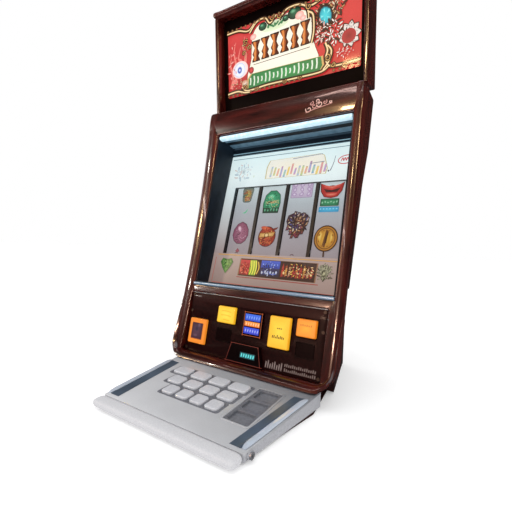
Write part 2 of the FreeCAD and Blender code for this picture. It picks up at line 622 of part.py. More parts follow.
# ---------------------------------------------------------------- marquee box
top_block = box("top_block", both(HALF), ("0", "top_depth"), ("0", "rail_high + 1"))
top_hollow = box("top_hollow", both(f"{HALF} - column_width"), ("-10", "top_depth - sheet"),
                 ("rail_low", "rail_high"))
pin_bore = rod("top_pin_bore", "pin_radius + shaft_gap", "machine_width - 8",
               (f"-{HALF} + 4", "bezel_depth + bezel_thick/2", "rail_high - pin_drop - 2"), "x")
lamp_holders = [box(f"lamp_holder_{i}", (str(a), str(a + 8)), ("44", "top_depth - sheet"),
                    ("118", "142")) for i, a in enumerate((-196, 188))]
lamp_bore = rod("lamp_bore", "8", "440", ("-220", "54", "130"), "x")
sub_part("top_cabinet", TOP,
         minus("top_cabinet_solid",
               joined("top_cabinet_body", minus("top_shell", top_block, top_hollow),
                      *lamp_holders), pin_bore, lamp_bore))
sub_part("crown_bar", TOP,
         box("crown_bar_solid", both(f"{HALF} + crown_over"), ("0 - crown_reach", "60"),
             ("rail_high + 1", "top_height")))

door_x = both(f"{HALF} - column_width - 0.4")
bezel_y = ("bezel_depth", "bezel_depth + bezel_thick")
bezel_sheet = box("bezel_sheet", door_x, bezel_y, ("rail_low + 0.5", "rail_high - 2"))
bezel_open = box("bezel_open", both("marquee_half"), ("0", "60"), ("marquee_low", "marquee_high"))
bezel_pins = rod("bezel_pins", "pin_radius", f"machine_width - 10",
                 (f"-{HALF} + 5", "bezel_depth + bezel_thick/2", "rail_high - pin_drop - 2"), "x")
sub_part("top_bezel", TOP,
         joined("top_bezel_solid", minus("bezel_cut", bezel_sheet, bezel_open), bezel_pins))
sub_part("marquee_panel", TOP,
         box("marquee_sheet", both("marquee_half"), ("bezel_depth + 2", "bezel_depth + 5"),
             ("marquee_low", "marquee_high")))
sub_part("marquee_lamp", TOP, rod("marquee_tube", "8", "392", ("-196", "54", "130"), "x"))

neck_plate = held("neck_plate", TOP,
                  box("neck_plate_box", both("140"), ("top_depth", "top_depth + 14"),
                      ("-25", "200")))
neck_foot = box("neck_foot", both("140"), ("185", "285"), ("cabinet_top", "cabinet_top + 40"))
neck_trim = box("neck_trim", both("200"), ("100", "400"), ("0", "cabinet_top"))
sub_part("neck_bracket", HERE,
         minus("neck_solid", joined("neck_body", neck_plate, neck_foot), neck_trim))

# ---------------------------------------------------------------- checks and files
doc.recompute()
faults = []
for obj in doc.Objects:
    if "Invalid" in obj.State or "Error" in obj.State:
        faults.append(obj.Name)
for obj in PARTS:
    if obj.Shape.isNull() or not obj.Shape.isValid() or not obj.Shape.Solids:
        faults.append(obj.Label)
if faults:
    raise RuntimeError("faulty objects: " + ", ".join(faults))
os.makedirs("parts", exist_ok=True)
for obj in PARTS:
    obj.Shape.exportStep(f"parts/{obj.Label}.step")
print(len(PARTS), "sub-parts written")
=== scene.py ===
import bmesh
import bpy
import math
from mathutils import Matrix, Vector, noise


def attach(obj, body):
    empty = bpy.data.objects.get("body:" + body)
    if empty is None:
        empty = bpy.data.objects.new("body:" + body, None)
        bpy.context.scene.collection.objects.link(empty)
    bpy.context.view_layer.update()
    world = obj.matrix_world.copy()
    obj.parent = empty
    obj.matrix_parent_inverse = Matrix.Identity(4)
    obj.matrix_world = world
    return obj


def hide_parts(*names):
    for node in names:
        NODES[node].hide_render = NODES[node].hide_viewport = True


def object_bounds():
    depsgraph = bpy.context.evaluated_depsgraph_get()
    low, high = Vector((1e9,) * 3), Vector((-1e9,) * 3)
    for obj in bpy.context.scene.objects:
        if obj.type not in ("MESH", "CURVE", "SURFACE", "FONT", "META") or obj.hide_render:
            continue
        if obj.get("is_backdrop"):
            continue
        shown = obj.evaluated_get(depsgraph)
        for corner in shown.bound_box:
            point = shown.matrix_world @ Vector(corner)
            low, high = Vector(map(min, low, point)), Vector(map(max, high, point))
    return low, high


# Reel-strip gaming cabinet. Every local place below is in millimetres: x to the right, d into
# the machine and s up the leaning plane of the part that the place is named after.

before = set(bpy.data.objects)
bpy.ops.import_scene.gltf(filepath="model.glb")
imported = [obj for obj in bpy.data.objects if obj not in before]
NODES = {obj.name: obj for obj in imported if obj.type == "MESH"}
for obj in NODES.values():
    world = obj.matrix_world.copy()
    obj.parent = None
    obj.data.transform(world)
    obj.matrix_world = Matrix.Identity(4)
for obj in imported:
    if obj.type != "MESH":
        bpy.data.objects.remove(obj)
cad_low, cad_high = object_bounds()
scene = bpy.context.scene


# ---------------------------------------------------------------- places

def leaning(degrees):
    return Matrix.Rotation(math.radians(degrees), 4, "X") @ Matrix.Scale(0.001, 4)


def spread(node, turn):
    """Lowest and highest corner of a node in the axes of a placement."""
    back = turn.inverted()
    points = [back @ v.co for v in NODES[node].data.vertices]
    low = Vector([min(p[i] for p in points) for i in range(3)])
    high = Vector([max(p[i] for p in points) for i in range(3)])
    return low, high


def lying(node, corner, axis):
    """Placement of the plane that a flat node lies in, with its low corner at the given place."""
    low, high = -25.0, 25.0
    for _ in range(40):
        third = (high - low) / 3
        thin = []
        for angle in (low + third, high - third):
            a, b = spread(node, leaning(angle))
            thin.append(b[axis] - a[axis])
        low, high = (low, high - third) if thin[0] < thin[1] else (low + third, high)
    turn = leaning((low + high) / 2)
    shift = spread(node, turn)[0] - Vector(corner)
    return turn @ Matrix.Translation(shift)


FACE = lying("button_panel", (-207, 12, -37), 1)
DISPLAY = lying("display_glass", (-208, 0, -28), 1)
TOP = lying("marquee_panel", (-212, 32, 54), 1)
DECK = lying("deck_plate", (-209, -231, -4), 2)
LAID = DECK @ Matrix(((1, 0, 0, 0), (0, 0, 1, 0), (0, -1, 0, 0), (0, 0, 0, 1)))


# ---------------------------------------------------------------- colours and surface groups

def tone(code):
    """Linear colour from a six-figure sRGB code."""
    parts = [int(code[i:i + 2], 16) / 255 for i in (0, 2, 4)]
    return [p / 12.92 if p <= 0.04045 else ((p + 0.055) / 1.055) ** 2.4 for p in parts] + [1]


def group(name, inputs, outputs):
    tree = bpy.data.node_groups.new(name, "ShaderNodeTree")
    for label, value in inputs:
        kind = "NodeSocketColor" if isinstance(value, list) else "NodeSocketFloat"
        if isinstance(value, tuple):
            kind = "NodeSocketVector"
        tree.interface.new_socket(label, in_out="INPUT", socket_type=kind).default_value = value
    for label in outputs:
        kind = "NodeSocketColor" if "Color" in label else "NodeSocketFloat"
        tree.interface.new_socket(label, in_out="OUTPUT", socket_type=kind)
    return tree, tree.nodes.new("NodeGroupInput"), tree.nodes.new("NodeGroupOutput")


def node(tree, kind, **values):
    made = tree.nodes.new(kind)
    for key, value in values.items():
        setattr(made, key, value)
    return made


def math_node(tree, operation, first, second, third=None):
    made = node(tree, "ShaderNodeMath", operation=operation)
    for socket, value in zip(made.inputs, (first, second, third)):
        if value is None:
            continue
        if isinstance(value, (int, float)):
            socket.default_value = value
        else:
            tree.links.new(value, socket)
    return made.outputs[0]


def blended(tree, factor, first, second, kind="MIX"):
    made = node(tree, "ShaderNodeMix", data_type="RGBA", blend_type=kind)
    for socket, value in zip((made.inputs[0], made.inputs[6], made.inputs[7]),
                             (factor, first, second)):
        if isinstance(value, (int, float, list)):
            socket.default_value = value
        else:
            tree.links.new(value, socket)
    return made.outputs[2]


def pattern(tree, scale, stretch, detail=4.0, shift=0.0):
    """Noise in the piece's own space, with its axes stretched."""
    place = node(tree, "ShaderNodeTexCoord")
    fit = node(tree, "ShaderNodeMapping")
    fit.inputs["Location"].default_value = (shift, shift, shift)
    tree.links.new(place.outputs["Object"], fit.inputs["Vector"])
    if isinstance(stretch, tuple):
        fit.inputs["Scale"].default_value = stretch
    else:
        tree.links.new(stretch, fit.inputs["Scale"])
    made = node(tree, "ShaderNodeTexNoise")
    made.inputs["Detail"].default_value = detail
    tree.links.new(fit.outputs[0], made.inputs["Vector"])
    if isinstance(scale, (int, float)):
        made.inputs["Scale"].default_value = scale
    else:
        tree.links.new(scale, made.inputs["Scale"])
    return made.outputs[0]


def make_worn_surface():
    """Grain between two tones, uneven gloss, fine relief, and lighter rubbed edges."""
    tree, given, told = group(
        "Worn Surface",
        [("Base Color", [0.5, 0.5, 0.5, 1]), ("Grain Color", [0.4, 0.4, 0.4, 1]),
         ("Edge Color", [0.7, 0.7, 0.7, 1]), ("Stretch", (1.0, 1.0, 1.0)), ("Grain Scale", 60.0),
         ("Roughness", 0.4), ("Roughness Spread", 0.15), ("Edge Wear", 0.4)],
        ["Base Color", "Roughness", "Height"])
    wide = pattern(tree, given.outputs["Grain Scale"], given.outputs["Stretch"])
    fine = pattern(tree, 900.0, (1, 1, 1), 2.0, 3.7)
    smudge = pattern(tree, 9.0, (1, 1, 1), 3.0, 8.1)
    ramp = node(tree, "ShaderNodeMapRange")
    ramp.inputs["From Min"].default_value = 0.35
    ramp.inputs["From Max"].default_value = 0.68
    tree.links.new(wide, ramp.inputs["Value"])
    body = blended(tree, ramp.outputs[0], given.outputs["Base Color"], given.outputs["Grain Color"])
    shape = node(tree, "ShaderNodeNewGeometry")
    edge = node(tree, "ShaderNodeMapRange")
    edge.inputs["From Min"].default_value = 0.52
    edge.inputs["From Max"].default_value = 0.6
    tree.links.new(shape.outputs["Pointiness"], edge.inputs["Value"])
    broken = math_node(tree, "MULTIPLY", edge.outputs[0], fine)
    worn = math_node(tree, "MULTIPLY", broken, given.outputs["Edge Wear"])
    tree.links.new(blended(tree, worn, body, given.outputs["Edge Color"]),
                   told.inputs["Base Color"])
    swing = math_node(tree, "SUBTRACT", smudge, 0.5)
    gloss = math_node(tree, "MULTIPLY_ADD", swing, given.outputs["Roughness Spread"],
                      given.outputs["Roughness"])
    tree.links.new(gloss, told.inputs["Roughness"])
    tree.links.new(math_node(tree, "MULTIPLY_ADD", fine, 0.4, wide), told.inputs["Height"])
    return tree


def make_brushed_metal():
    """Metal drawn along one direction, with streaks and faint tarnish."""
    tree, given, told = group(
        "Brushed Metal",
        [("Base Color", [0.6, 0.6, 0.62, 1]), ("Tarnish Color", [0.4, 0.4, 0.42, 1]),
         ("Stretch", (1.0, 40.0, 40.0)), ("Roughness", 0.3), ("Roughness Spread", 0.2)],
        ["Base Color", "Roughness", "Height"])
    streak = pattern(tree, 22.0, given.outputs["Stretch"], 5.0)
    cloud = pattern(tree, 14.0, (1, 1, 1), 4.0, 5.2)
    body = blended(tree, cloud, given.outputs["Base Color"], given.outputs["Tarnish Color"])
    tree.links.new(body, told.inputs["Base Color"])
    swing = math_node(tree, "SUBTRACT", streak, 0.5)
    tree.links.new(math_node(tree, "MULTIPLY_ADD", swing, given.outputs["Roughness Spread"],
                             given.outputs["Roughness"]), told.inputs["Roughness"])
    tree.links.new(streak, told.inputs["Height"])
    return tree


def make_printed_film():
    """Inks held on the piece, with a fine screen and slight unevenness of the print."""
    tree, given, told = group(
        "Printed Film",
        [("Glow", 0.8), ("Mottle", 0.1), ("Roughness", 0.3), ("Paper", 0.45)],
        ["Base Color", "Emission Color", "Roughness", "Height"])
    inks = node(tree, "ShaderNodeVertexColor", layer_name="ink")
    screen = pattern(tree, 420.0, (1, 1, 1), 2.0)
    cloud = pattern(tree, 16.0, (1, 1, 1), 3.0, 2.3)
    both = math_node(tree, "ADD", screen, cloud)
    swing = math_node(tree, "SUBTRACT", both, 1.0)
    level = math_node(tree, "MULTIPLY_ADD", swing, given.outputs["Mottle"], 1.0)
    grey = node(tree, "ShaderNodeCombineColor")
    for socket in grey.inputs[:3]:
        tree.links.new(level, socket)
    body = blended(tree, 1.0, inks.outputs["Color"], grey.outputs[0], "MULTIPLY")
    for share, target in (("Paper", "Base Color"), ("Glow", "Emission Color")):
        bright = node(tree, "ShaderNodeCombineColor")
        for socket in bright.inputs[:3]:
            tree.links.new(given.outputs[share], socket)
        tree.links.new(blended(tree, 1.0, body, bright.outputs[0], "MULTIPLY"),
                       told.inputs[target])
    tree.links.new(math_node(tree, "MULTIPLY_ADD", screen, 0.15, given.outputs["Roughness"]),
                   told.inputs["Roughness"])
    tree.links.new(screen, told.inputs["Height"])
    return tree


WORN = make_worn_surface()
BRUSHED = make_brushed_metal()
PRINTED = make_printed_film()


def material(name, tree, relief=0.0001, metallic=0.0, coat=0.0, glow=0.0, shine=0.5, **values):
    made = bpy.data.materials.new(name)
    made.use_nodes = True
    links, nodes = made.node_tree.links, made.node_tree.nodes
    shader = nodes["Principled BSDF"]
    shader.inputs["Metallic"].default_value = metallic
    shader.inputs["Coat Weight"].default_value = coat
    shader.inputs["Specular IOR Level"].default_value = shine
    shader.inputs["Coat Roughness"].default_value = 0.06
    source = nodes.new("ShaderNodeGroup")
    source.node_tree = tree
    for label, value in values.items():
        source.inputs[label.replace("_", " ").title()].default_value = value
    links.new(source.outputs["Base Color"], shader.inputs["Base Color"])
    links.new(source.outputs["Roughness"], shader.inputs["Roughness"])
    if "Emission Color" in source.outputs:
        links.new(source.outputs["Emission Color"], shader.inputs["Emission Color"])
        shader.inputs["Emission Strength"].default_value = 1
        source.inputs["Glow"].default_value = glow
    elif glow:
        links.new(source.outputs["Base Color"], shader.inputs["Emission Color"])
        shader.inputs["Emission Strength"].default_value = glow
    bump = nodes.new("ShaderNodeBump")
    bump.inputs["Strength"].default_value = 0.6
    bump.inputs["Distance"].default_value = relief
    links.new(source.outputs["Height"], bump.inputs["Height"])
    links.new(bump.outputs[0], shader.inputs["Normal"])
    return made


def worn(name, base, grain, edge, **values):
    return material(name, WORN, base_color=tone(base), grain_color=tone(grain),
                    edge_color=tone(edge), **values)


def metal(name, base, tarnish, metallic=1.0, **values):
    return material(name, BRUSHED, metallic=metallic, base_color=tone(base),
                    tarnish_color=tone(tarnish), **values)


MAHOGANY = worn("mahogany lacquer", "4c120c", "260607", "8a3a24", stretch=(1, 1, 0.16),
                grain_scale=44.0, roughness=0.24, roughness_spread=0.12, coat=0.9,
                relief=0.00003, edge_wear=0.35)
MAHOGANY_ACROSS = worn("mahogany rail", "4c120c", "1c0404", "8a3a24", stretch=(0.14, 1, 1),
                       grain_scale=60.0, roughness=0.24, roughness_spread=0.16, coat=0.9,
                       relief=0.00003, edge_wear=0.35)
PANEL = worn("panel maroon", "260808", "190405", "4a1a16", grain_scale=140.0, roughness=0.36,
             roughness_spread=0.12, coat=0.04, shine=0.08, relief=0.00003)
DARK_PANEL = worn("dark window", "100405", "0a0203", "2a0f0e", grain_scale=140.0, roughness=0.3,
                  coat=0.03, shine=0.06, relief=0.00002)
BLACK = worn("black plastic", "0b0a0c", "131215", "2c2a2e", grain_scale=220.0, roughness=0.42)
BLACK_GLASS = worn("black glass", "0b0303", "0e0505", "1c1214", grain_scale=60.0, roughness=0.42,
                   roughness_spread=0.1, shine=0.03, relief=0.00001, edge_wear=0.2)
DARK_STEEL = worn("painted steel", "1a1416", "211a1c", "4a4446", grain_scale=180.0,
                  roughness=0.5, relief=0.00012)
CABINET_PAINT = worn("cabinet maroon", "2e0d0a", "1c0706", "5a2a20", grain_scale=160.0,
                     roughness=0.4, coat=0.3, relief=0.00008)
RECESS = worn("recess blue", "0f1824", "080d15", "3a5064", grain_scale=40.0, roughness=0.5,
              roughness_spread=0.2, coat=0.03, shine=0.25, relief=0.00002)
# painted light: the ceiling bands glow for the light bar's light falling on them
CEILING_PAINTED_GLOW = worn("ceiling strip painted glow", "4a6577", "37505f", "7f9aaa", grain_scale=60.0, roughness=0.4,
               relief=0.00002, glow=0.6)
SILVER_TRIM = metal("silver trim", "a3bdd8", "5d7389", metallic=0.35, roughness=0.26,
                    relief=0.00002)
STEEL = metal("bright steel", "b9bbc0", "84868c", metallic=0.55, roughness=0.3, relief=0.00003)
BRONZE = metal("dark bronze", "4a3020", "2c1a12", metallic=0.3, roughness=0.45, relief=0.00002)
# painted sheen: pale bluish base colour with little metal stands for the bright reflections of
# polished chrome
PALE_METAL_PAINTED_SHEEN = metal("pale rail painted sheen", "e3eaf4", "b4c2d4", metallic=0.25, roughness=0.12,
               roughness_spread=0.08,
               relief=0.00001)
CHANNEL = metal("channel", "6d8093", "33404e", metallic=0.3, roughness=0.3, roughness_spread=0.12,
                relief=0.00001)
CRATE = worn("deck silver", "bcbdc2", "a7a8ae", "ececee", grain_scale=320.0, roughness=0.34,
             roughness_spread=0.16, coat=0.4, relief=0.00004)
KEYS = worn("key grey", "d3d4d9", "c5c6cc", "f4f4f6", grain_scale=260.0, roughness=0.34,
            roughness_spread=0.14, coat=0.2, relief=0.00004)
POCKET = worn("pocket grey", "74767d", "64666e", "a9abb1", grain_scale=200.0, roughness=0.4)
REST = worn("rest cover", "d6d6d9", "c8c8cc", "ececed", grain_scale=520.0, roughness=0.6,
            relief=0.0002)
LAMP = worn("lamp diffuser", "c9e2ee", "a9cbdc", "f4fbff", grain_scale=120.0, roughness=0.5,
            glow=0.62, relief=0.00002)
WARM_LAMP = worn("warm lamp", "fff0d8", "ffe6c4", "ffffff", grain_scale=120.0, roughness=0.5,
                 glow=0.5, relief=0.00002)
LIT = material("lit print", PRINTED, relief=0.00001, coat=0.15, glow=0.74, paper=0.3,
               mottle=0.22)
SOFT_PRINT = material("soft lit print", PRINTED, relief=0.00001, coat=0.05, glow=0.77,
                      paper=0.35, mottle=0.12)
# painted light: the reel strips are no lamps, their glow stands for the light bar lighting them
STRIP_PAINTED_GLOW = material("strip print painted glow", PRINTED, relief=0.00001, glow=0.66, paper=0.35, mottle=0.1,
                 roughness=0.5)
CAP = material("lit button cap", PRINTED, relief=0.00002, coat=0.3, glow=0.74, paper=0.35,
               mottle=0.2)


def make_glass():
    made = bpy.data.materials.new("clear glass")
    made.use_nodes = True
    nodes, links = made.node_tree.nodes, made.node_tree.links
    nodes.clear()
    out = nodes.new("ShaderNodeOutputMaterial")
    mix = nodes.new("ShaderNodeMixShader")
    clear = nodes.new("ShaderNodeBsdfTransparent")
    clear.inputs["Color"].default_value = (0.97, 0.985, 0.99, 1)
    gloss = nodes.new("ShaderNodeBsdfGlossy")
    gloss.inputs["Color"].default_value = (0.06, 0.07, 0.08, 1)
    facing = nodes.new("ShaderNodeFresnel")
    facing.inputs["IOR"].default_value = 1.3
    source = nodes.new("ShaderNodeGroup")
    source.node_tree = WORN
    source.inputs["Roughness"].default_value = 0.16
    source.inputs["Roughness Spread"].default_value = 0.06
    links.new(source.outputs["Roughness"], gloss.inputs["Roughness"])
    links.new(facing.outputs[0], mix.inputs[0])
    links.new(clear.outputs[0], mix.inputs[1])
    links.new(gloss.outputs[0], mix.inputs[2])
    links.new(mix.outputs[0], out.inputs["Surface"])
    return made


GLASS = make_glass()


# ---------------------------------------------------------------- outlines and solids

GOLDEN_TURN = 2.399

def rounded(points, radius, steps=6):
    """Closed line with its corners rounded; one radius, or one for each corner."""
    out = []
    count = len(points)
    for i in range(count):
        r = radius[i] if isinstance(radius, (list, tuple)) else radius
        before, here, after = (Vector(points[(i + k) % count][:2]) for k in (-1, 0, 1))
        if not r:
            out.append(here)
            continue
        u, w = (before - here).normalized(), (after - here).normalized()
        half = u.angle(w) / 2
        centre = here + (u + w).normalized() * (r / math.sin(half))
        start = here + u * (r / math.tan(half)) - centre
        end = here + w * (r / math.tan(half)) - centre
        first = math.atan2(start.y, start.x)
        swing = math.remainder(math.atan2(end.y, end.x) - first, math.tau)
        for k in range(steps + 1):
            angle = first + swing * k / steps
            out.append(centre + Vector((math.cos(angle), math.sin(angle))) * r)
    return out


def rect(x0, x1, s0, s1, radius=0.0, steps=6):
    return rounded([(x0, s0), (x1, s0), (x1, s1), (x0, s1)], radius, steps)


def circle(x, s, rx, rs=None, count=28, turn=0.0):
    rs = rx if rs is None else rs
    out = []
    for i in range(count):
        a = math.tau * i / count
        u, w = rx * math.cos(a), rs * math.sin(a)
        out.append(Vector((x + u * math.cos(turn) - w * math.sin(turn),
                           s + u * math.sin(turn) + w * math.cos(turn))))
    return out


def inset(line, amount):
    """The line moved to its left, which is into the material of a plate."""
    out = []
    count = len(line)
    for i in range(count):
        u = (line[i] - line[i - 1]).normalized()
        w = (line[(i + 1) % count] - line[i]).normalized()
        m = Vector((-u.y - w.y, u.x + w.x))
        out.append(line[i] + m / max(1 + u.dot(w), 0.2) * amount)
    return out


def plate(lines, front, back, edge=2.0, steps=4, back_edge=0.0, rows=(), columns=(),
          bend=None):
    """Plate from an outer line and its openings, with rounded front edges.

    Returns corners (x, d, s) and faces. The first line runs anticlockwise, the openings
    clockwise; rows and columns are where the faces are split so that bend can move them.
    """
    bm = bmesh.new()
    levels = []
    for k in range(steps + 1):
        a = math.pi / 2 * k / steps
        levels.append((edge * (1 - math.sin(a)), front + edge * (1 - math.cos(a))))
    for k in range(steps + 1) if back_edge else [steps]:
        a = math.pi / 2 * (1 - k / steps)
        levels.append((back_edge * (1 - math.sin(a)), back - back_edge * (1 - math.cos(a))))
    ends = ([], [])
    for number, line in enumerate(lines):
        line = [Vector(p) for p in line]
        if number:
            line.reverse()
        rings = []
        for amount, depth in levels:
            ring = inset(line, amount) if amount else line
            rings.append([bm.verts.new((p.x, depth, p.y)) for p in ring])
        count = len(line)
        for a, b in zip(rings, rings[1:]):
            for i in range(count):
                j = (i + 1) % count
                bm.faces.new((a[i], a[j], b[j], b[i]))
        for store, ring in zip(ends, (rings[0], rings[-1])):
            for i in range(count):
                store.append(bm.edges.get((ring[i], ring[(i + 1) % count])))
    for store in ends:
        bmesh.ops.triangle_fill(bm, edges=store, use_beauty=True)
    cuts = [((0, 0, s), (0, 0, 1)) for s in rows] + [((x, 0, 0), (1, 0, 0)) for x in columns]
    for place, square in cuts:
        every = bm.verts[:] + bm.edges[:] + bm.faces[:]
        bmesh.ops.bisect_plane(bm, geom=every, plane_co=place, plane_no=square)
    bmesh.ops.recalc_face_normals(bm, faces=bm.faces[:])
    if bend:
        for v in bm.verts:
            v.co = bend(v.co)
    bm.verts.index_update()
    made = [tuple(v.co) for v in bm.verts], [[v.index for v in f.verts] for f in bm.faces]
    bm.free()
    return made


def lofted(rings, closed_ends=True):
    """Skin over equal rings of corners."""
    count = len(rings[0])
    corners = [tuple(p) for ring in rings for p in ring]
    faces = []
    for k in range(len(rings) - 1):
        for i in range(count):
            j = (i + 1) % count
            faces.append([k * count + i, k * count + j, (k + 1) * count + j, (k + 1) * count + i])
    if closed_ends:
        faces.append(list(range(count)))
        faces.append([(len(rings) - 1) * count + i for i in range(count)])
    return corners, faces


class Form:
    """Corners, faces, inks and finish numbers that become one piece."""

    def __init__(self):
        self.corners, self.faces, self.inks, self.kinds = [], [], [], []

    def add(self, made, kind=0, ink=None, shift=(0, 0, 0)):
        corners, faces = made
        start = len(self.corners)
        self.corners += [Vector(c) + Vector(shift) for c in corners]
        self.faces += [[i + start for i in f] for f in faces]
        self.kinds += [kind] * len(faces)
        self.inks += list(ink) if ink else [(1, 1, 1, 1)] * len(corners)
        return self

    def piece(self, name, body, at, finishes, slot=None, over=(), sharp=38):
        mesh = bpy.data.meshes.new(name)
        mesh.from_pydata([at @ c for c in self.corners], [], self.faces)
        for finish in finishes:
            mesh.materials.append(finish)
        for face, kind in zip(mesh.polygons, self.kinds):
            face.material_index = kind
        inks = mesh.color_attributes.new("ink", "FLOAT_COLOR", "POINT")
        for i, colour in enumerate(self.inks):
            inks.data[i].color = colour
        mesh.shade_smooth()
        mesh.set_sharp_from_angle(angle=math.radians(sharp))
        mesh.update()
        made = bpy.data.objects.new(name, mesh)
        scene.collection.objects.link(made)
        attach(made, body)
        if over:
            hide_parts(*over)
        return made


class Artwork(Form):
    """Flat inks laid one over the other in front of a base plane."""

    def __init__(self, depth, kind=0, fit=None, step=0.012):
        super().__init__()
        self.depth, self.kind, self.step = depth, kind, step
        self.fit = fit or (lambda u, v: (u, v))

    def lay(self, corners, faces, inks):
        self.depth -= self.step
        self.add(([(c[0], self.depth, c[1]) for c in corners], faces), self.kind, inks)

    def area(self, line, middle, edge=None, rim=None, rim_at=0.86, centre=None):
        """Closed line filled from a middle tone to an edge tone, with an optional darker rim."""
        line = [Vector(self.fit(*p)) for p in line]
        count = len(line)
        mid = Vector(self.fit(*centre)) if centre else sum(line, Vector((0, 0))) / count
        bands = [(0.5, 0.5), (rim_at if rim else 1.0, 1.0)]
        first, last = tone(middle), tone(edge or middle)
        corners, inks = [mid], [first]
        for at, share in bands:
            corners += [mid + (p - mid) * at for p in line]
            inks += [[a + (b - a) * share for a, b in zip(first, last)]] * count
        if rim:
            for at in (rim_at + 0.001, 1.0):
                corners += [mid + (p - mid) * at for p in line]
                inks += [tone(rim)] * count
        rings = (len(corners) - 1) // count
        faces = [[0, 1 + i, 1 + (i + 1) % count] for i in range(count)]
        for k in range(rings - 1):
            for i in range(count):
                j = (i + 1) % count
                a, b = 1 + k * count, 1 + (k + 1) * count
                faces.append([a + i, b + i, b + j, a + j])
        self.lay(corners, faces, inks)

    def wash(self, x0, x1, s0, s1, low, high):
        """Rectangle that shades from one tone at its foot to another at its head."""
        (a, b), (c, d) = self.fit(x0, s0), self.fit(x1, s1)
        self.lay([(a, b), (c, b), (c, d), (a, d)], [[0, 1, 2, 3]],
                 [tone(low), tone(low), tone(high), tone(high)])

    def dabs(self, x, s, wide, tall, count, inks, size, start=0.0, ratio=1.0):
        """Small curled leaves fanned about a point; inks holds (body, shade, rim) tones."""
        for i in range(count):
            a = start + i * GOLDEN_TURN
            r = math.sqrt((i + 0.5) / count)
            turn = a + 0.9 * math.sin(i * 1.7)
            cx, cs = x + wide * r * math.cos(a), s + tall * r * math.sin(a)
            body, shade, rim = inks[i % len(inks)]
            long = size * (1 + 0.35 * math.sin(i * 2.3))
            leaf = []
            for t, w in ((-1, 0.0), (-0.4, 0.5), (0.3, 0.62), (1, 0.1), (0.45, -0.34),
                         (-0.5, -0.4)):
                along, across = t * long, w * long * 0.62
                leaf.append((cx + along * math.cos(turn) - across * math.sin(turn),
                             cs + ratio * (along * math.sin(turn) + across * math.cos(turn))))
            self.area(leaf, body, shade, rim, 0.7)

    def band(self, points, width, middle, edge=None, taper=0.0, closed=False):
        """Stroke along smoothed points; the edge tone runs along both sides."""
        line = smoothed([Vector(self.fit(*p)) for p in points], closed)
        count = len(line)
        across = (-1, -0.62, -0.52, 0.52, 0.62, 1) if edge else (-1, 1)
        corners, inks, faces = [], [], []
        for i, p in enumerate(line):
            after = line[(i + 1) % count] if closed or i < count - 1 else p
            before = line[i - 1] if closed or i else p
            run = (after - before).normalized()
            side = Vector((-run.y, run.x))
            half = width / 2 * (1 - taper * i / (count - 1))
            for a in across:
                corners.append(p + side * half * a)
                inks.append(tone(edge if edge and abs(a) > 0.6 else middle))
        n = len(across)
        for i in range(count if closed else count - 1):
            j = (i + 1) % count
            for k in range(n - 1):
                faces.append([i * n + k, i * n + k + 1, j * n + k + 1, j * n + k])
        self.lay(corners, faces, inks)


def smoothed(points, closed=False, steps=6):
    if len(points) < 3:
        return points
    out = []
    count = len(points)
    for i in range(count if closed else count - 1):
        if closed:
            a, b, c, d = (points[(i + k) % count] for k in (-1, 0, 1, 2))
        else:
            a, b = points[max(i - 1, 0)], points[i]
            c, d = points[i + 1], points[min(i + 2, count - 1)]
        for k in range(steps):
            t = k / steps
            out.append(0.5 * (2 * b + (c - a) * t + (2 * a - 5 * b + 4 * c - d) * t * t
                              + (3 * b - a - 3 * c + d) * t ** 3))
    return out if closed else out + [points[-1]]


def spiral(x, s, radius, turns, start=0.0, hand=1, squeeze=1.0, count=18):
    out = []
    for i in range(count):
        t = i / (count - 1)
        a = start + hand * turns * math.tau * t
        r = radius * (1 - 0.82 * t)
        out.append((x + r * math.cos(a), s + squeeze * r * math.sin(a)))
    return out


# ---------------------------------------------------------------- door frame

FRONT_BEND = 2 * 4246
HOLLOW_DEPTH = 13
HOLLOW_MIDDLE = 332
DOOR_THICK = 28
SWELL = 2.6


def hollow(s):
    """Depth of the door's concave front at a height."""
    return HOLLOW_DEPTH - (s - HOLLOW_MIDDLE) ** 2 / FRONT_BEND


# Right side of the window opening; its left side is at -205.
RIGHT = 217


def crowned(x, s):
    """How far the front of a stile or of the top rail swells at a place."""
    out = 0.0
    for low, high, at in ((205, 240, -x), (RIGHT, 240, x), (612, 684, s)):
        if low < at < high:
            share = (2 * at - low - high) / (high - low)
            out = max(out, SWELL * (1 - share * share))
    return out


def bend_front(c):
    share = max(0.0, (DOOR_THICK - c.y) / DOOR_THICK)
    return Vector((c.x, c.y + share * (hollow(c.z) - crowned(c.x, c.z)), c.z))


ROWS = [-40 + 24 * i for i in range(31)]
STILES = [-237, -232, -227, -222, -217, -212, -208, 220, 224, 228, 232, 236]

door = Form()
door.add(plate([rounded([(-240, -47), (240, -47), (240, 684), (-240, 684)], [50, 50, 7, 7], 10),
                rect(-205, RIGHT, 149, 612, 4), rect(-207, 207, -37, 129, 5)],
               0, 28, 3.0, 5, rows=ROWS + [618, 630, 642, 654, 666, 678], columns=STILES,
               bend=bend_front))
BACK_LINE = [(27, 60), (28, 200), (44, 360), (82, 540), (86, 684), (27, 684)]
for side in (-1, 1):
    corners, faces = plate([rounded(BACK_LINE, [0, 30, 40, 40, 5, 0], 8)], 0, 14, 1.6, 3, 1.6)
    door.add(([(side * (240 - d), x, s) for x, d, s in corners], faces))


def chin_path():
    """Points round the foot of the door with the outward direction and how far the lip grows."""
    out = []
    for k in range(9):
        out.append((Vector((240, 110 - 107 * k / 8)), Vector((1, 0)), 0.35 * k / 8))
    for k in range(1, 13):
        a = math.pi / 2 * k / 12
        n = Vector((math.cos(a), -math.sin(a)))
        out.append((Vector((190, 3)) + n * 50, n, 0.35 + 0.65 * math.sin(a) ** 1.5))
    for k in range(1, 20):
        out.append((Vector((190 - 190 * k / 10, -47)), Vector((0, -1)), 1.0))
    return out + [(Vector((-p.x, p.y)), Vector((-n.x, n.y)), f) for p, n, f in out[-20::-1]]


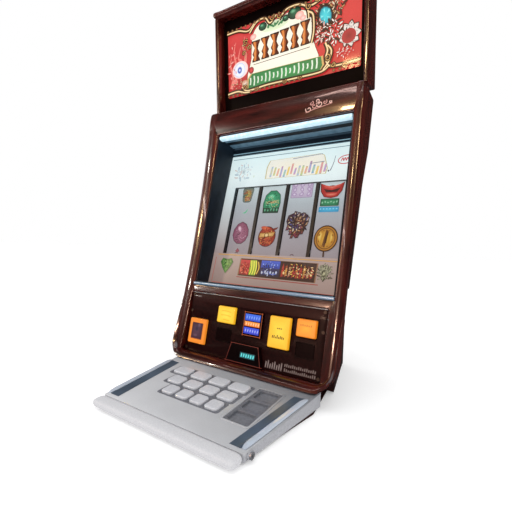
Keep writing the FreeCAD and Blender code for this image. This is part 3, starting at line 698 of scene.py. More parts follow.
def chin_ring(p, n, f):
    face = hollow(p.y) + 1.2 * (1 - f)
    reach = (20.4 + hollow(-47)) * f
    out = 9.4 * f * f - 1.2 * (1 - f)
    profile = [(-9.6, 0.5), (-8.4, -0.12 * reach), (-5.5, -0.42 * reach), (-1.5, -0.72 * reach),
               (0.3 * out + 1, -0.92 * reach), (0.72 * out, -reach), (0.95 * out, -0.9 * reach),
               (out, -0.66 * reach), (out, -0.2 * reach), (0.7 * out, 6), (0.2 * out, 16),
               (-1, 26), (-9, 26)]
    return [(p.x + n.x * u, face + d, p.y + n.y * u) for u, d in profile]


door.add(lofted([chin_ring(*step) for step in chin_path()]))
for i, face in enumerate(door.faces):
    mid = sum((door.corners[k] for k in face), Vector((0, 0, 0))) / len(face)
    if abs(mid.x) < 212 and (mid.z > 612 or mid.z < 150) and mid.y < 20:
        door.kinds[i] = 1
door.piece("door_frame_shell", "front_door", FACE, [MAHOGANY, MAHOGANY_ACROSS], "mahogany_gloss",
           ["door_frame"])

# painted light: the flourish uses the glowing soft lit print although nothing lights it from behind
flourish = Artwork(-0.12, 0, step=0.01)
for k, (x, s, r, start, hand) in enumerate((
        (98, 636, 9, 2.8, 1), (113, 642, 7.5, 0.4, -1), (128, 645, 8.5, 3.4, 1),
        (142, 647, 6, 0.9, -1),
        (121, 654, 6.5, 4.2, 1), (105, 650, 6, 1.2, -1), (158, 645, 4, 2.5, 1))):
    flourish.band(spiral(x, s, r, 1.05, start, hand), 2.2, "c98f86" if k % 2 else "e3b4a8")
flourish.band([(90, 628), (112, 633), (138, 637), (162, 641)], 1.8, "c98f86")
flourish.corners = [Vector((c.x, c.y + hollow(c.z) - crowned(c.x, c.z), c.z))
                    for c in flourish.corners]
flourish.piece("rail_flourish", "front_door", FACE, [SOFT_PRINT])

# ---------------------------------------------------------------- top box

top = Form()
top.add(plate([rect(-240, 240, 0, 291, 3), rect(-226.8, 226.8, 5, 290, 1)], 0, 68, 4.5, 6, 2.0))
top.add(plate([rect(-238, 238, 2, 289, 2)], 60, 67.5, 1.0, 2, 1.0))
top.piece("top_box_shell", "cabinet", TOP, [MAHOGANY], "mahogany_gloss", ["top_cabinet"])


def crown_ring(t):
    """Cross-section of the crown bar at a share of its length, fuller near both ends."""
    end = abs(2 * t - 1)
    full = 0.5 + 0.5 * math.cos(math.pi * min(1, max(0, (1 - end) / 0.12)))
    close = math.sqrt(max(0.0, 1 - max(0.0, (end - 0.965) / 0.035) ** 2)) * 0.45 + 0.55
    out = []
    for k in range(28):
        a = math.tau * k / 28
        c, q = math.cos(a), math.sin(a)
        d = 27.5 + (30.5 + 2.0 * full) * math.copysign(abs(c) ** 0.42, c) * (0.94 + 0.06 * close)
        s = 301 + (9.2 + 0.8 * full) * math.copysign(abs(q) ** 0.55, q) * close
        out.append((-242 + 484 * t, d, s))
    return out


crown = Form().add(lofted([crown_ring(0.5 - 0.5 * math.cos(math.pi * i / 60)) for i in range(61)]))
crown.piece("crown_rail", "cabinet", TOP, [MAHOGANY_ACROSS], "mahogany_gloss", ["crown_bar"])

bezel = Form()
bezel.add(plate([rect(-226.3, 226.3, 5.8, 287.6, 2), rect(-212, 212, 54, 258, 3)],
                30, 36, 1.2, 3, 0.6))
bezel.piece("marquee_surround", "marquee_door", TOP, [BLACK_GLASS], "panel_dark", ["top_bezel"])


def draw_marquee():
    art = Artwork(32.0, 1, lambda u, v: (-212 + 424 * u, 54 + 204 * v))
    gold, brown, cream = "d8a65c", "4a2213", "fff6e0"
    art.wash(0, 1, 0, 1, "c9272b", "e2403f")
    art.wash(0, 0.2, 0, 1, "b81f26", "e04343")
    # cream field with a soft green head
    field = [(0.2, 0.1), (0.7, 0.1), (0.69, 0.5), (0.66, 0.86), (0.52, 0.97), (0.42, 0.9),
             (0.3, 0.96), (0.22, 0.84), (0.205, 0.5)]
    art.area([tuple(p) for p in smoothed([Vector(p) for p in field], True, 4)],
             "fffbec", cream, brown, 0.985)
    art.area(circle(0.4, 0.86, 0.11, 0.07), "cfe6b4", "e9f2d2")
    for x, s, r in ((0.305, 0.9, 0.034), (0.552, 0.93, 0.05), (0.487, 0.9, 0.026)):
        art.area(circle(x, s, r, r * 1.7), "2c6b4c", "123c2b", "0c241b")
        art.area(circle(x - r * 0.2, s + r * 0.5, r * 0.45, r * 0.6), "7fc79a", "2c6b4c")
    for i in range(7):
        art.area(circle(0.35 + 0.018 * i, 0.87 + 0.012 * math.sin(2.1 * i), 0.009, 0.026, 10,
                        0.5 * math.sin(i)), "4f9c62", "2c6b44")
    for x, s, r in ((0.59, 0.87, 0.032), (0.615, 0.82, 0.022), (0.225, 0.8, 0.026)):
        art.area(circle(x, s, r, r * 1.7, 14), "fbdcd2", "f2a99c")
    # flames of the left field
    for i, (u, h) in enumerate(((0.025, 0.5), (0.06, 0.66), (0.1, 0.56), (0.14, 0.7))):
        art.band([(u, 0.14 + 0.06 * i), (u + 0.018, 0.3 + 0.1 * i), (u - 0.006, h),
                  (u + 0.012, h + 0.15)], 12, "f2857a", None, 0.9)
    # turned balusters across the middle
    turned = ((0, 0.032), (0.05, 0.034), (0.09, 0.014), (0.2, 0.016), (0.38, 0.031), (0.52, 0.02),
              (0.66, 0.011), (0.8, 0.013), (0.88, 0.03), (0.95, 0.037), (1, 0.034))
    for i in range(6):
        u, base, tall = 0.248 + 0.0765 * i, 0.44 + 0.004 * i, 0.3 + 0.004 * i
        right = [(u + w, base + tall * t) for t, w in turned]
        left = [(u - w, base + tall * t) for t, w in reversed(turned)]
        art.area(right + left, "b8591f", "8a3a14", "2a0f0a", 0.84)
        art.area([(u - w * 0.62, base + tall * t) for t, w in turned[1:-1]]
                 + [(u - w * 0.1, base + tall * t) for t, w in reversed(turned[1:-1])],
                 "f2a255", "dd7f34")
        art.area([(u + w * 0.35, base + tall * t) for t, w in turned[1:-1]]
                 + [(u + w * 0.75, base + tall * t) for t, w in reversed(turned[1:-1])],
                 "3d170c", "5a2410")
    art.band([(0.225, 0.405), (0.665, 0.415)], 1.6, "5a3324")
    # ribbon with plain marks
    ribbon = [(0.165, 0.075), (0.45, 0.085), (0.745, 0.065), (0.765, 0.13), (0.755, 0.255),
              (0.46, 0.275), (0.2, 0.285), (0.17, 0.22)]
    art.area(ribbon, "3f9e56", "2b7d43", "d8b06a", 0.955)
    for i in range(17):
        u = 0.19 + 0.0322 * i
        tall = 0.052 + 0.018 * math.sin(1.7 * i)
        mid = 0.178 - 0.003 * math.sin(i)
        art.area([(u, mid - tall), (u + 0.012, mid - tall), (u + 0.016, mid),
                  (u + 0.014, mid + tall),
                  (u + 0.002, mid + tall), (u + 0.006, mid)], "f4f7ea", "d9ead0")
    # round token at the left
    art.area(circle(0.108, 0.39, 0.07, 0.125), "ffffff", "f6d9d6")
    art.area(circle(0.104, 0.385, 0.05, 0.105), "fdfdff", "e8ecfb", "c9d3f2", 0.9)
    art.area(circle(0.104, 0.385, 0.022, 0.055, 18), "5574cf", "3450a8", "b7c5f0", 0.78)
    art.area(circle(0.104, 0.385, 0.008, 0.02, 10), "e6ecff", "c9d5fb")
    art.area(circle(0.206, 0.335, 0.022, 0.05, 20), "e8474a", "9c1b22", "5c0f14", 0.88)
    art.area(circle(0.15, 0.17, 0.03, 0.05, 16), "f1e3d0", "c98d63")
    # jewel, crown and speckled plume at the right
    def jewel(setting, dark, darker, stone, bright, rim_at, facet):
        u, v = 0.772, 0.746
        art.area(circle(u, v, *setting, 22, 0.1), dark, darker)
        art.area(circle(u, v, *stone, 12, 0.1), bright, "12a7b8", "0b5a66", rim_at)
        for k in range(5):
            a = math.tau * k / 5 + 0.4
            art.area([(u, v), (u + facet[0] * math.cos(a), v + facet[1] * math.sin(a)),
                      (u + facet[0] * math.cos(a + 0.5), v + facet[1] * math.sin(a + 0.5))],
                     "8ff7f5", "28c4cf")

    jewel((0.062, 0.16), "7a3a1e", "3c1a10", (0.046, 0.13), "44e6ea", 0.9, (0.04, 0.112))

    def tuft(x, s, wide, tall, count, inks, size=1.0, start=0.0):
        art.dabs(x, s, wide, tall, count, inks, 0.017 * size, start, 2.1)

    tuft(0.76, 0.76, 0.085, 0.2, 46, (("5a2c1c", "2c120d", "1c0b09"),
                                      ("e9cfae", "b98a5c", "4a2213"),
                                     ("8f4a28", "5a2613", "2c120d")), 1.15)
    tuft(0.845, 0.84, 0.055, 0.15, 34, (("f3e2c8", "c9a074", "4a2213"),
                                        ("3a1a12", "5a2c1c", "240e0a"),
                                       ("d8a868", "8f5a30", "3a1a12")), 1.1, 0.9)
    jewel((0.05, 0.14), "3c1a10", "1d0b08", (0.042, 0.12), "3fdfe6", 0.88, (0.036, 0.1))
    tuft(0.735, 0.56, 0.04, 0.16, 30, (("fbf1e6", "d9b39c", "6b2a24"),
                                       ("2c1411", "4a2018", "1c0b09"),
                                      ("f5d3c8", "e0948c", "8f2226")), 1.05, 2.0)
    tuft(0.82, 0.5, 0.075, 0.17, 52, (("fffaf4", "e3cdbd", "3a1a16"),
                                      ("fffaf4", "e3cdbd", "7a1c22"),
                                     ("2a1210", "4a211b", "1c0b09")), 1.0, 1.3)
    fan = []
    for k in range(36):
        a = math.tau * k / 36
        reach = 1.0 + 0.16 * math.cos(9 * a)
        fan.append((0.93 + 0.066 * reach * math.cos(a), 0.42 + 0.15 * reach * math.sin(a)))
    art.area(fan, "fbf6f1", "e4d9d1", "1f0f0d", 0.9)
    tuft(0.93, 0.42, 0.055, 0.13, 34, (("2a1a18", "4a3430", "150b0a"),
                                       ("f3ece6", "cdbcb2", "2a1a18")),
         0.62)
    art.area(circle(0.925, 0.4, 0.045, 0.09, 22), "8f1420", "b72430")
    tuft(0.9, 0.22, 0.06, 0.06, 16, (("f9d5cc", "f0a79c", "a81d24"),
                                     ("fff1ea", "f3c4ba", "8f1a20")),
         0.75)
    tuft(0.05, 0.5, 0.04, 0.3, 18, (("f6a196", "ee7a70", "c22429"), ("ffd2c4", "f59a8c", "b81f26")),
         1.0, 0.5)
    tuft(0.165, 0.68, 0.035, 0.14, 16, (("d8a65c", "a8672a", "3a1a12"),
                                        ("f6d9a4", "d8a65c", "5a2c16")),
         0.7)
    tuft(0.1, 0.17, 0.07, 0.07, 14, (("f6b3a6", "ee8478", "a81d24"),
                                     ("f2d6b4", "c98d5a", "5a2c16")),
         0.7)
    # gilt scrolls round the field
    arches = (
        [(0.0, 0.955), (0.1, 0.95), (0.19, 0.9), (0.25, 1.0)],
        [(0.2, 0.86), (0.26, 0.98), (0.33, 0.99), (0.37, 0.9), (0.42, 0.98)],
        [(0.44, 0.9), (0.5, 1.0), (0.6, 0.995), (0.65, 0.9), (0.66, 0.78)],
        [(0.6, 0.99), (0.68, 0.93), (0.76, 0.975), (0.82, 0.99)],
        [(0.66, 0.86), (0.69, 0.8), (0.695, 0.6), (0.68, 0.45)],
        [(0.775, 0.4), (0.79, 0.3), (0.778, 0.2), (0.8, 0.1), (0.86, 0.075), (1.0, 0.08)],
        [(0.76, 0.06), (0.8, 0.16), (0.815, 0.28), (0.79, 0.36)],
        [(0.13, 0.12), (0.18, 0.045), (0.35, 0.06), (0.55, 0.05), (0.74, 0.045), (0.8, 0.1)],
        [(0.0, 0.06), (0.09, 0.07), (0.15, 0.03), (0.2, 0.02)],
    )
    for wide, body, edge in ((14, "1f0c08", None), (9, gold, "2c120b"), (3, "fbe2b0", None)):
        for line in arches:
            art.band(line, wide, body, edge, 0.2)
    for x, s, r, start, hand in (
            (0.165, 0.74, 9, 0.5, 1), (0.2, 0.66, 7, 3.6, -1), (0.15, 0.6, 6, 0.2, 1),
            (0.39, 0.965, 8, 3.1, 1), (0.44, 0.955, 8, 0.0, -1), (0.66, 0.93, 9, 2.2, 1),
            (0.79, 0.2, 9, 1.6, -1), (0.83, 0.1, 7, 3.0, 1), (0.16, 0.1, 8, 4.0, -1),
            (0.26, 0.045, 7, 2.6, 1), (0.48, 0.04, 7, 0.6, -1), (0.6, 0.04, 6, 2.6, 1),
            (0.72, 0.98, 7, 2.0, 1), (0.9, 0.05, 6, 0.0, 1)):
        centre = art.fit(x, s)
        plain = Artwork(art.depth, 1)
        plain.band(spiral(centre[0], centre[1], r, 1.15, start, hand), 6.5, "1f0c08")
        plain.band(spiral(centre[0], centre[1], r, 1.15, start, hand), 4.0, gold, brown, 0.45)
        art.add((plain.corners, plain.faces), 1, plain.inks)
        art.depth = plain.depth
    for i in range(26):
        u = 0.01 + 0.98 * i / 25
        if 0.2 < u < 0.62 or u > 0.82 or u < 0.14:
            art.area(circle(u, 0.022, 0.011, 0.02, 10), "a8703a", brown)
        art.area(circle(u, 0.982, 0.01, 0.02, 10), "b98a52", brown)
    return art


marquee = draw_marquee()
marquee.add(plate([rect(-212, 212, 54, 258, 2.5)], 32.02, 35, 0.4, 2), 0)
marquee.piece("marquee_print", "marquee_door", TOP, [WARM_LAMP, LIT], "lit_art", ["marquee_panel"])

# ---------------------------------------------------------------- window recess


def tilted_back(c):
    """The liner's rear edge follows the leaning display."""
    return Vector((c.x, c.y if c.y < 40 else 65.7 + (c.z - 180) * 0.0664, c.z))


liner = Form()
liner.add(plate([rect(-205, RIGHT, 158, 612, 4), rect(-202, RIGHT - 3, 161, 609, 3)], 12, 66, 0.8,
                3, rows=ROWS, bend=tilted_back))
liner.add(plate([rect(-206.5, RIGHT + 1.5, 156.5, 613.5, 4),
                 rect(-205.1, RIGHT + 0.1, 157.9, 612.1, 4)], 27, 65, 0.5, 2, rows=ROWS,
                bend=tilted_back), 1)
liner.piece("recess_liner", "front_door", FACE, [RECESS, DARK_STEEL], "recess_blue",
            ["window_bezel"])


def rounded_bar(x0, x1, d0, d1, s0, s1, square=0.7, count=25):
    """Bar along x with a soft rectangular section."""
    rings = []
    for i in range(count):
        x = x0 + (x1 - x0) * i / (count - 1)
        ring = []
        for k in range(24):
            c, q = math.cos(math.tau * k / 24), math.sin(math.tau * k / 24)
            ring.append((x, (d0 + d1) / 2 - (d1 - d0) / 2 * math.copysign(abs(c) ** square, c),
                         (s0 + s1) / 2 + (s1 - s0) / 2 * math.copysign(abs(q) ** square, q)))
        rings.append(ring)
    return lofted(rings)


bar_low, bar_high = spread("light_bar", FACE)
Form().add(rounded_bar(bar_low.x + 3, RIGHT - 5, bar_low.y - 7, bar_high.y - 6, 599.5,
                       bar_high.z + 2)).piece(
    "window_light_bar", "front_door", FACE, [LAMP], "lamp_white", ["light_bar"])

ceiling = Form()
ceiling.add(plate([rect(-201.5, RIGHT - 3.5, 29, 88, 2)], 0, 1.4, 0.5, 2), 0)
# painted light: these two bands take the glowing ceiling finish for the light bar's light on the
# ceiling
for near, far in ((31, 46), (64, 87)):
    ceiling.add(plate([rect(-201.5, RIGHT - 3.5, near, far, 3)], -1.6, 0.2, 1.4, 4), 1)
ceiling.corners = [Vector((c.x, c.z, 607.4 + c.y)) for c in ceiling.corners]
ceiling.piece("recess_ceiling_strip", "front_door", FACE, [RECESS, CEILING_PAINTED_GLOW], "recess_blue")

lip_low, lip_high = spread("sill_lip", FACE)
Form().add(rounded_bar(lip_low.x, RIGHT, lip_low.y, lip_high.y, lip_low.z, lip_high.z, 0.62, 41)
           ).piece("window_sill_roll", "front_door", FACE, [SILVER_TRIM], "silver_trim",
                   ["sill_lip"])

STRIP_PITCH = 92.3
CENTRES = [17 + (k - 1.5) * STRIP_PITCH for k in range(4)]
OPENING = 41.5
OPENING_FOOT, OPENING_HEAD = 77, 289
BELT_HALF = 40


def draw_display():
    art = Artwork(4.0, 1)
    openings = [rect(x - OPENING, x + OPENING, OPENING_FOOT, OPENING_HEAD, 1.5) for x in CENTRES]
    art.add(plate([rect(-208, RIGHT, -28, 442, 2)] + openings, 4.0, 6.0, 0.3, 1), 0)
    # painted light: the margins beside the strips brighten from pinkish grey at the foot to pale at
    # the head, as under the light bar
    for x0, x1 in [(-208, CENTRES[0] - OPENING), (CENTRES[3] + OPENING, RIGHT)]:
        art.wash(x0, x1, 77, 290, "a3908f", "dfeef0")
    for a, b in zip(CENTRES, CENTRES[1:]):
        art.wash(a + OPENING, b - OPENING, OPENING_FOOT, OPENING_HEAD, "0c0a0d", "141c22")
    art.wash(-170.5, CENTRES[0] - OPENING, OPENING_FOOT, OPENING_HEAD, "1c1216", "26363c")
    # head
    art.wash(-208, RIGHT, 289, 330, "dfecee", "eaf8f8")
    art.wash(-208, RIGHT, 330, 404, "eaf8f8", "e6fbfd")
    art.wash(-208, RIGHT, 404, 426, "0d1620", "0c151e")
    art.wash(-208, RIGHT, 426, 434, "0c151e", "43596a")
    art.wash(-208, RIGHT, 434, 442, "43596a", "3c5162")
    # painted highlight: this pale line stands for the lit edge of the glass
    art.band([(-206, 411), (RIGHT, 411)], 3, "8fb6c6")
    art.band([(-200, 391), (RIGHT, 391)], 2.4, "7f99a4")
    art.band([(-206, 403.4), (RIGHT, 403.4)], 2.6, "56707c")
    # painted shadow: dark line along the top edge of the strip windows
    art.band([(-170, 290.5), (RIGHT, 290.5)], 3, "2a3338")
    art.dabs(-150, 346, 34, 30, 26, (("dbe6ea", "cfdde3", "bccdd6"), ("eadfd9", "dccfca", "c9bfc0"),
                                     ("c5d6df", "b3c8d4", "a3b9c6")), 7, 0.4)
    head = [(-66, 314), (128, 314), (132, 330), (118, 372), (104, 378), (-58, 374), (-66, 352)]
    art.area(head, "fbf3df", "f3f1e6", "c9bd8a", 0.97)
    pastels = ("efd978", "efa98c", "e39bbd", "94bce8", "b4dc92", "f0c070", "c98fb4", "7faadc")
    for i in range(16):
        x = -52 + 11.4 * i
        up = 318 + 4 * math.sin(1.3 * i)
        tall = 22 + 14 * (0.5 + 0.5 * math.sin(2.3 * i + 1))
        art.area([(x, up), (x + 7, up), (x + 10, up + tall), (x + 4, up + tall)],
                 pastels[i % 8], pastels[(i + 3) % 8], "9c9aa0" if i > 8 else "d8cfc0", 0.9)
    art.band([(78, 350), (120, 352)], 2, "7b7f8c")
    art.band([(20, 371), (112, 376)], 2.2, "8a93a3")
    art.band([(140, 322), (147, 345), (150, 366)], 2.6, "6f7480", None, 0.6)
    art.area(circle(135, 322, 2.6, 2.6, 10), "5c616c")
    art.band([(p.x, p.y) for p in circle(180, 351, 21, 12, 16, 0.12)], 2.4, "c8434c", closed=True)
    for i in range(4):
        art.band([(167 + 7 * i, 347), (171 + 7 * i, 356), (174 + 7 * i, 347)], 2.6, "c8434c")
    art.area(circle(-150, 345, 7, 9, 12), "aab8bf", "dfeeee")
    art.area(circle(-134, 352, 9, 5, 12), "d5e2e2", "eaf6f6")
    art.area(circle(-108, 326, 3, 5, 8), "cfdccf", "e2efe6")
    # foot
    art.wash(-208, RIGHT, -28, 20, "967f78", "a28b84")
    art.wash(-208, RIGHT, 20, 77, "a28b84", "ae9892")
    art.band([(-186, 73), (RIGHT, 69)], 3.4, "d8a764", "8a5c3a")
    art.band([(-190, -14), (RIGHT, -16)], 1.8, "b0524c")
    art.band([(-192, 64), (-193, -14)], 1.8, "b0524c")
    art.band([(-104, 8), (150, 6)], 2.4, "9a3f35")
    art.area([(-102, 12), (142, 10), (144, 62), (-100, 64)], "3a1b16", "2a100e", "8a6244", 0.97)
    art.wash(-97, -58, 16, 60, "8c1016", "c42c32")
    for i in range(4):
        art.area(circle(-92 + 9 * i, 30 + 9 * math.sin(2 * i), 4.2, 8, 10, 0.4 * i), "f07a58",
                 "c32f2c")
    art.wash(-64, -42, 16, 60, "5f8f22", "a4b83a")
    for i in range(3):
        art.band([(-60 + 8 * i, 18), (-57 + 8 * i, 38), (-60 + 8 * i, 58)], 4, "e8df4c")
    art.band([(-38, 20), (-32, 38), (-37, 56)], 5, "e0b84c", "7a3d1c")
    art.wash(-26, 34, 16, 40, "1d1c33", "2c315c")
    art.wash(-26, 34, 40, 61, "2741a0", "3e5cc4")
    for i in range(6):
        art.area(circle(-20 + 9 * i, 27 + 3 * math.sin(3 * i), 3.2, 5.5, 8), "d8dcea", "8b93b8")
        art.area(circle(-19 + 9 * i, 50, 2.8, 3.2, 8), "8fa6ea", "5673cf")
    for i in range(9):
        x = 40 + 10.6 * i
        colour = ("d6402e", "e8b04a", "f0d9a4", "b32620", "e87a3a")[i % 5]
        art.area([(x, 18), (x + 7, 20 + 3 * math.sin(i)), (x + 8.5, 40), (x + 5, 58 - 4 * (i % 3)),
                  (x + 1, 44)], colour, "8c1f1a")
    for i in range(5):
        art.area(circle(48 + 20 * i, 30 + 13 * (i % 2), 4.2, 6, 10), "ffe6a0", "c8742c", "4a150f",
                 0.8)
    art.dabs(91, 38, 47, 20, 60, (("d6402e", "8c1f1a", "300c0a"), ("f2c95c", "c9872c", "4a1c0c"),
                                  ("5c1410", "38100c", "1c0806"), ("f6e6b4", "d9a45c", "5a2410")),
             5, 0.6)
    art.dabs(4, 38, 26, 20, 34, (("dfe3f2", "9aa3cc", "1d1c33"), ("2c40a0", "1f2c70", "10142c"),
                                 ("14142a", "1f2450", "0c0c1c"), ("6f8ae0", "3e5cc4", "161c48")),
             4.4, 0.2)
    art.dabs(-78, 36, 17, 18, 20, (("f07a58", "c32f2c", "5c100e"), ("a3161c", "6b0e12", "30080a"),
                                   ("f6b08c", "d94a38", "5c100e")), 5, 1.1)
    # leaf gem at the left, crest at the right
    gem = [(-146, 14), (-160, 32), (-170, 50), (-163, 62), (-147, 58), (-131, 62), (-124, 51),
           (-133, 33)]
    art.area(gem, "7fae54", "4c7c3a", "2f5a2c", 0.93)
    for i in range(5):
        art.area(circle(-161 + 7 * i, 52 - abs(i - 2), 3.6, 5, 8), "8fb866", "476f36")
        art.area(circle(-154 + 4 * i, 34 + 2 * (i % 2), 2.4, 4, 8), "35592c", "4c7c3a")
    art.dabs(-147, 46, 17, 14, 24, (("a8cf7c", "6f9a4c", "2f5a2c"), ("3f6b34", "2c4f26", "1c3418"),
                                    ("7fae54", "4c7c3a", "24421c")), 4.4, 0.4)
    for i in range(6):
        a = 0.5 + 0.38 * i
        art.band([(163, 20), (163 + 14 * math.cos(a), 38 + 6 * math.sin(a)),
                  (163 + 20 * math.cos(a), 42 + 18 * math.sin(a))], 7, "a2a085", "5c5e4a", 0.3)
    art.area(circle(163, 36, 7, 9, 12), "b9b690", "6b6d52", "44462f", 0.86)
    art.dabs(165, 40, 22, 22, 34, (("b9b696", "7a7c60", "3c3e2c"), ("54563f", "3c3e2c", "24261a"),
                                   ("8f9070", "5c5e4a", "34362a")), 5, 0.3)
    return art


display = draw_display()
display.piece("display_print", "front_door", DISPLAY, [BLACK, SOFT_PRINT], "lit_art", ["art_panel"])


def belt(x):
    """Closed strip belt: a front run, a turn over the roller, a rear run and a lower turn."""
    front, rear, thick = 9.0, 72, 1.2
    half = (rear - front) / 2
    line = []
    for k in range(17):
        a = math.pi - math.pi * k / 16
        line.append((front + half + half * math.cos(a), 300 + half * math.sin(a)))
    for k in range(17):
        a = -math.pi * k / 16
        line.append((front + half + half * math.cos(a), 66 + half * math.sin(a)))
    out, inner = [], []
    for i, p in enumerate(line):
        before, after = Vector(line[i - 1]), Vector(line[(i + 1) % len(line)])
        run = (after - before).normalized()
        inner.append((p[0] + run.y * thick, p[1] - run.x * thick))
        out.append(p)
    rings = []
    left, right = x - BELT_HALF, x + BELT_HALF
    for outline, across in ((out, left), (out, right), (inner, right), (inner, left), (out, left)):
        rings.append([(across, e, h) for e, h in outline])
    return lofted(rings, False)


def draw_strips():
    art = Artwork(8.96, 1)
    for x in CENTRES:
        made = belt(x)
        # painted shade: the belt's turns and rear run are inked dark grey for the shade inside the
        # reel
        art.add(made, 0, [tone("6a6466")] * len(made[0]))
        # painted light: each strip darkens towards its foot and brightens towards its head, as the
        # light bar above lights it
        art.wash(x - BELT_HALF, x + BELT_HALF, 66, 150, "a39497", "aea7ae")
        art.wash(x - BELT_HALF, x + BELT_HALF, 150, 230, "aea7ae", "b9c0c6")
        art.wash(x - BELT_HALF, x + BELT_HALF, 230, 296, "b9c0c6", "d9e6e8")
    a, b, c, d = CENTRES
    # first strip: round badge, small leaf, mauve gem
    art.area(rounded([(a - 15, 242), (a + 15, 242), (a + 22, 292), (a - 22, 292)], 9), "b98f6c",
             "6d7f76", "4f5f60", 0.93)
    art.area(circle(a + 1, 268, 13, 15, 16), "d9c04f", "a3805a")
    art.area(circle(a + 1, 254, 9, 7, 14), "e0a87c", "b05c44")
    art.dabs(a + 1, 266, 16, 20, 24, (("e8b24a", "b8702a", "4a2c1c"),
                                      ("3f8f80", "24584f", "16302c"),
                                      ("d9604a", "8f2f24", "3c1612"),
                                      ("f2e2a8", "c9a04c", "5a3c1c")),
             4.6, 0.3)
    art.area([(a - 9, 207), (a + 1, 211), (a + 11, 222), (a + 9, 213), (a + 3, 206)], "3fb27c",
             "7fd0a6")
    egg = [(a, 180), (a + 16, 172), (a + 27, 154), (a + 29, 136), (a + 21, 118), (a + 8, 109),
           (a - 8, 109), (a - 21, 118), (a - 29, 136), (a - 27, 154), (a - 16, 172)]
    art.area(egg, "b46f8b", "8f4a66", "5c2c44", 0.93)
    art.dabs(a, 141, 21, 25, 34, (("d99ab2", "b06a88", "6a3450"), ("8a4562", "6a3450", "43203a"),
                                  ("c48aa4", "8f4a66", "5c2c44"), ("efc2d2", "c990aa", "8a4a68")),
             4.4, 0.7)
    art.area(circle(a - 6, 157, 6, 9, 10, 0.4), "f2d3dd", "cf97ae")
    art.area([(a - 8, 86), (a, 96), (a + 8, 86), (a, 82)], "b05c68", "8c3c4a")
    # second strip: domed badge, fiery round with a ribbon
    dome = [(b - 27, 205), (b + 25, 205), (b + 29, 236), (b + 25, 262), (b + 10, 276),
            (b - 10, 276),
            (b - 25, 262), (b - 30, 236)]
    art.area(dome, "3fbb84", "218a60", "174d3c", 0.94)
    art.area(circle(b - 5, 256, 11, 8, 12, 0.3), "a6ecc4", "4cc990")
    art.area([(b - 22, 232), (b + 22, 236), (b + 23, 246), (b - 22, 243)], "e9a06c", "8cc48a")
    art.area([(b - 27, 206), (b + 25, 206), (b + 26, 222), (b - 27, 222)], "2c5c48", "1b3a30")
    for i in range(5):
        art.area(circle(b - 20 + 10 * i, 215, 3, 5, 8), "7fd8ac", "2f8c64")
        art.area(circle(b - 18 + 9 * i, 231 + 3 * (i % 2), 2.6, 3.6, 8), "bff2d2", "2f9a6a")
    art.dabs(b, 240, 23, 27, 42, (("8fe6ba", "3fae7c", "14503a"), ("1d6b4c", "124434", "0c2c22"),
                                  ("4fc48e", "24855c", "123c2c"), ("d8c890", "8fae6a", "2c5c3c")),
             4.2, 0.5)
    art.area(circle(b + 2, 133, 29, 31, 26), "d2542e", "a22a1c", "5c1410", 0.92)
    art.area([(b - 26, 128), (b + 26, 134), (b + 30, 148), (b - 24, 144)], "f2c46a", "d98a3c",
             "6b2a14", 0.9)
    art.area(circle(b - 6, 158, 16, 6, 12, -0.2), "f07848", "c43c24")
    art.area([(b + 16, 156), (b + 36, 162), (b + 30, 154), (b + 18, 150)], "8c2418", "6b1a12")
    for i in range(5):
        art.area(circle(b - 16 + 8 * i, 114 + 3 * (i % 2), 4, 6, 8), "e8703c", "b03420")
    art.dabs(b + 1, 132, 23, 25, 40, (("f08a4c", "c2482a", "4a140e"),
                                      ("8c2418", "5c1410", "30100c"),
                                      ("f6cc74", "d98a3c", "5c2410"),
                                      ("d2542e", "8f2a1a", "3a100c")),
             4.6, 0.9)
    art.area([(b - 26, 130), (b + 26, 135), (b + 29, 145), (b - 24, 142)], "f2cf80", "d9964a",
             "6b2a14", 0.9)
    art.area(circle(b + 1, 137, 8, 7, 10), "ffe9b0", "d99a4c", "5c2410", 0.8)
    # third strip: lilac square, cluster of dark shards
    art.area(rect(c - 33, c + 33, 248, 300, 3), "dccfe0", "c3aecb", "a18cab", 0.95)
    for i in range(9):
        art.area(circle(c - 22 + 22 * (i % 3), 259 + 14 * (i // 3), 7.5, 5.5, 9, 0.5 * i), "efe4f2",
                 "a57fb4")
    shield = [(c - 34, 178), (c - 30, 196), (c - 14, 203), (c, 199), (c + 16, 204), (c + 31, 196),
              (c + 35, 178), (c + 22, 148), (c + 1, 130), (c - 20, 148)]
    art.area(shield, "5b3a50", "3a2234")
    for i in range(30):
        a0 = i * GOLDEN_TURN
        r = 34 * math.sqrt((i + 0.5) / 30)
        x, s = c + 1 + r * math.cos(a0) * 0.94, 168 + r * math.sin(a0) * 1.05
        if s < 158 and abs(x - c) > 44 - (172 - s) * 0.9:
            continue
        art.area([(x - 5.5, s - 8), (x + 3, s - 7), (x + 7.5, s + 7), (x - 1.5, s + 9)],
                 ("a0566c", "d0a37a", "5b3f68", "8b4a3c", "e3c4b0")[i % 5], "4a2534", "2a1420", 0.8)
    art.area([(c - 14, 146), (c + 16, 146), (c + 2, 128)], "a03a52", "6b2438", "2a1420", 0.86)
    art.dabs(c + 1, 172, 30, 32, 44, (("f4e6d2", "d9b98c", "2c1c1c"),
                                      ("7a4630", "4a261c", "1c1010"),
                                      ("6f6aa6", "3c3868", "1c1830"),
                                      ("d9a070", "9a5a34", "2c1612"),
                                      ("3c2838", "241824", "140c14")), 6.6, 0.2)
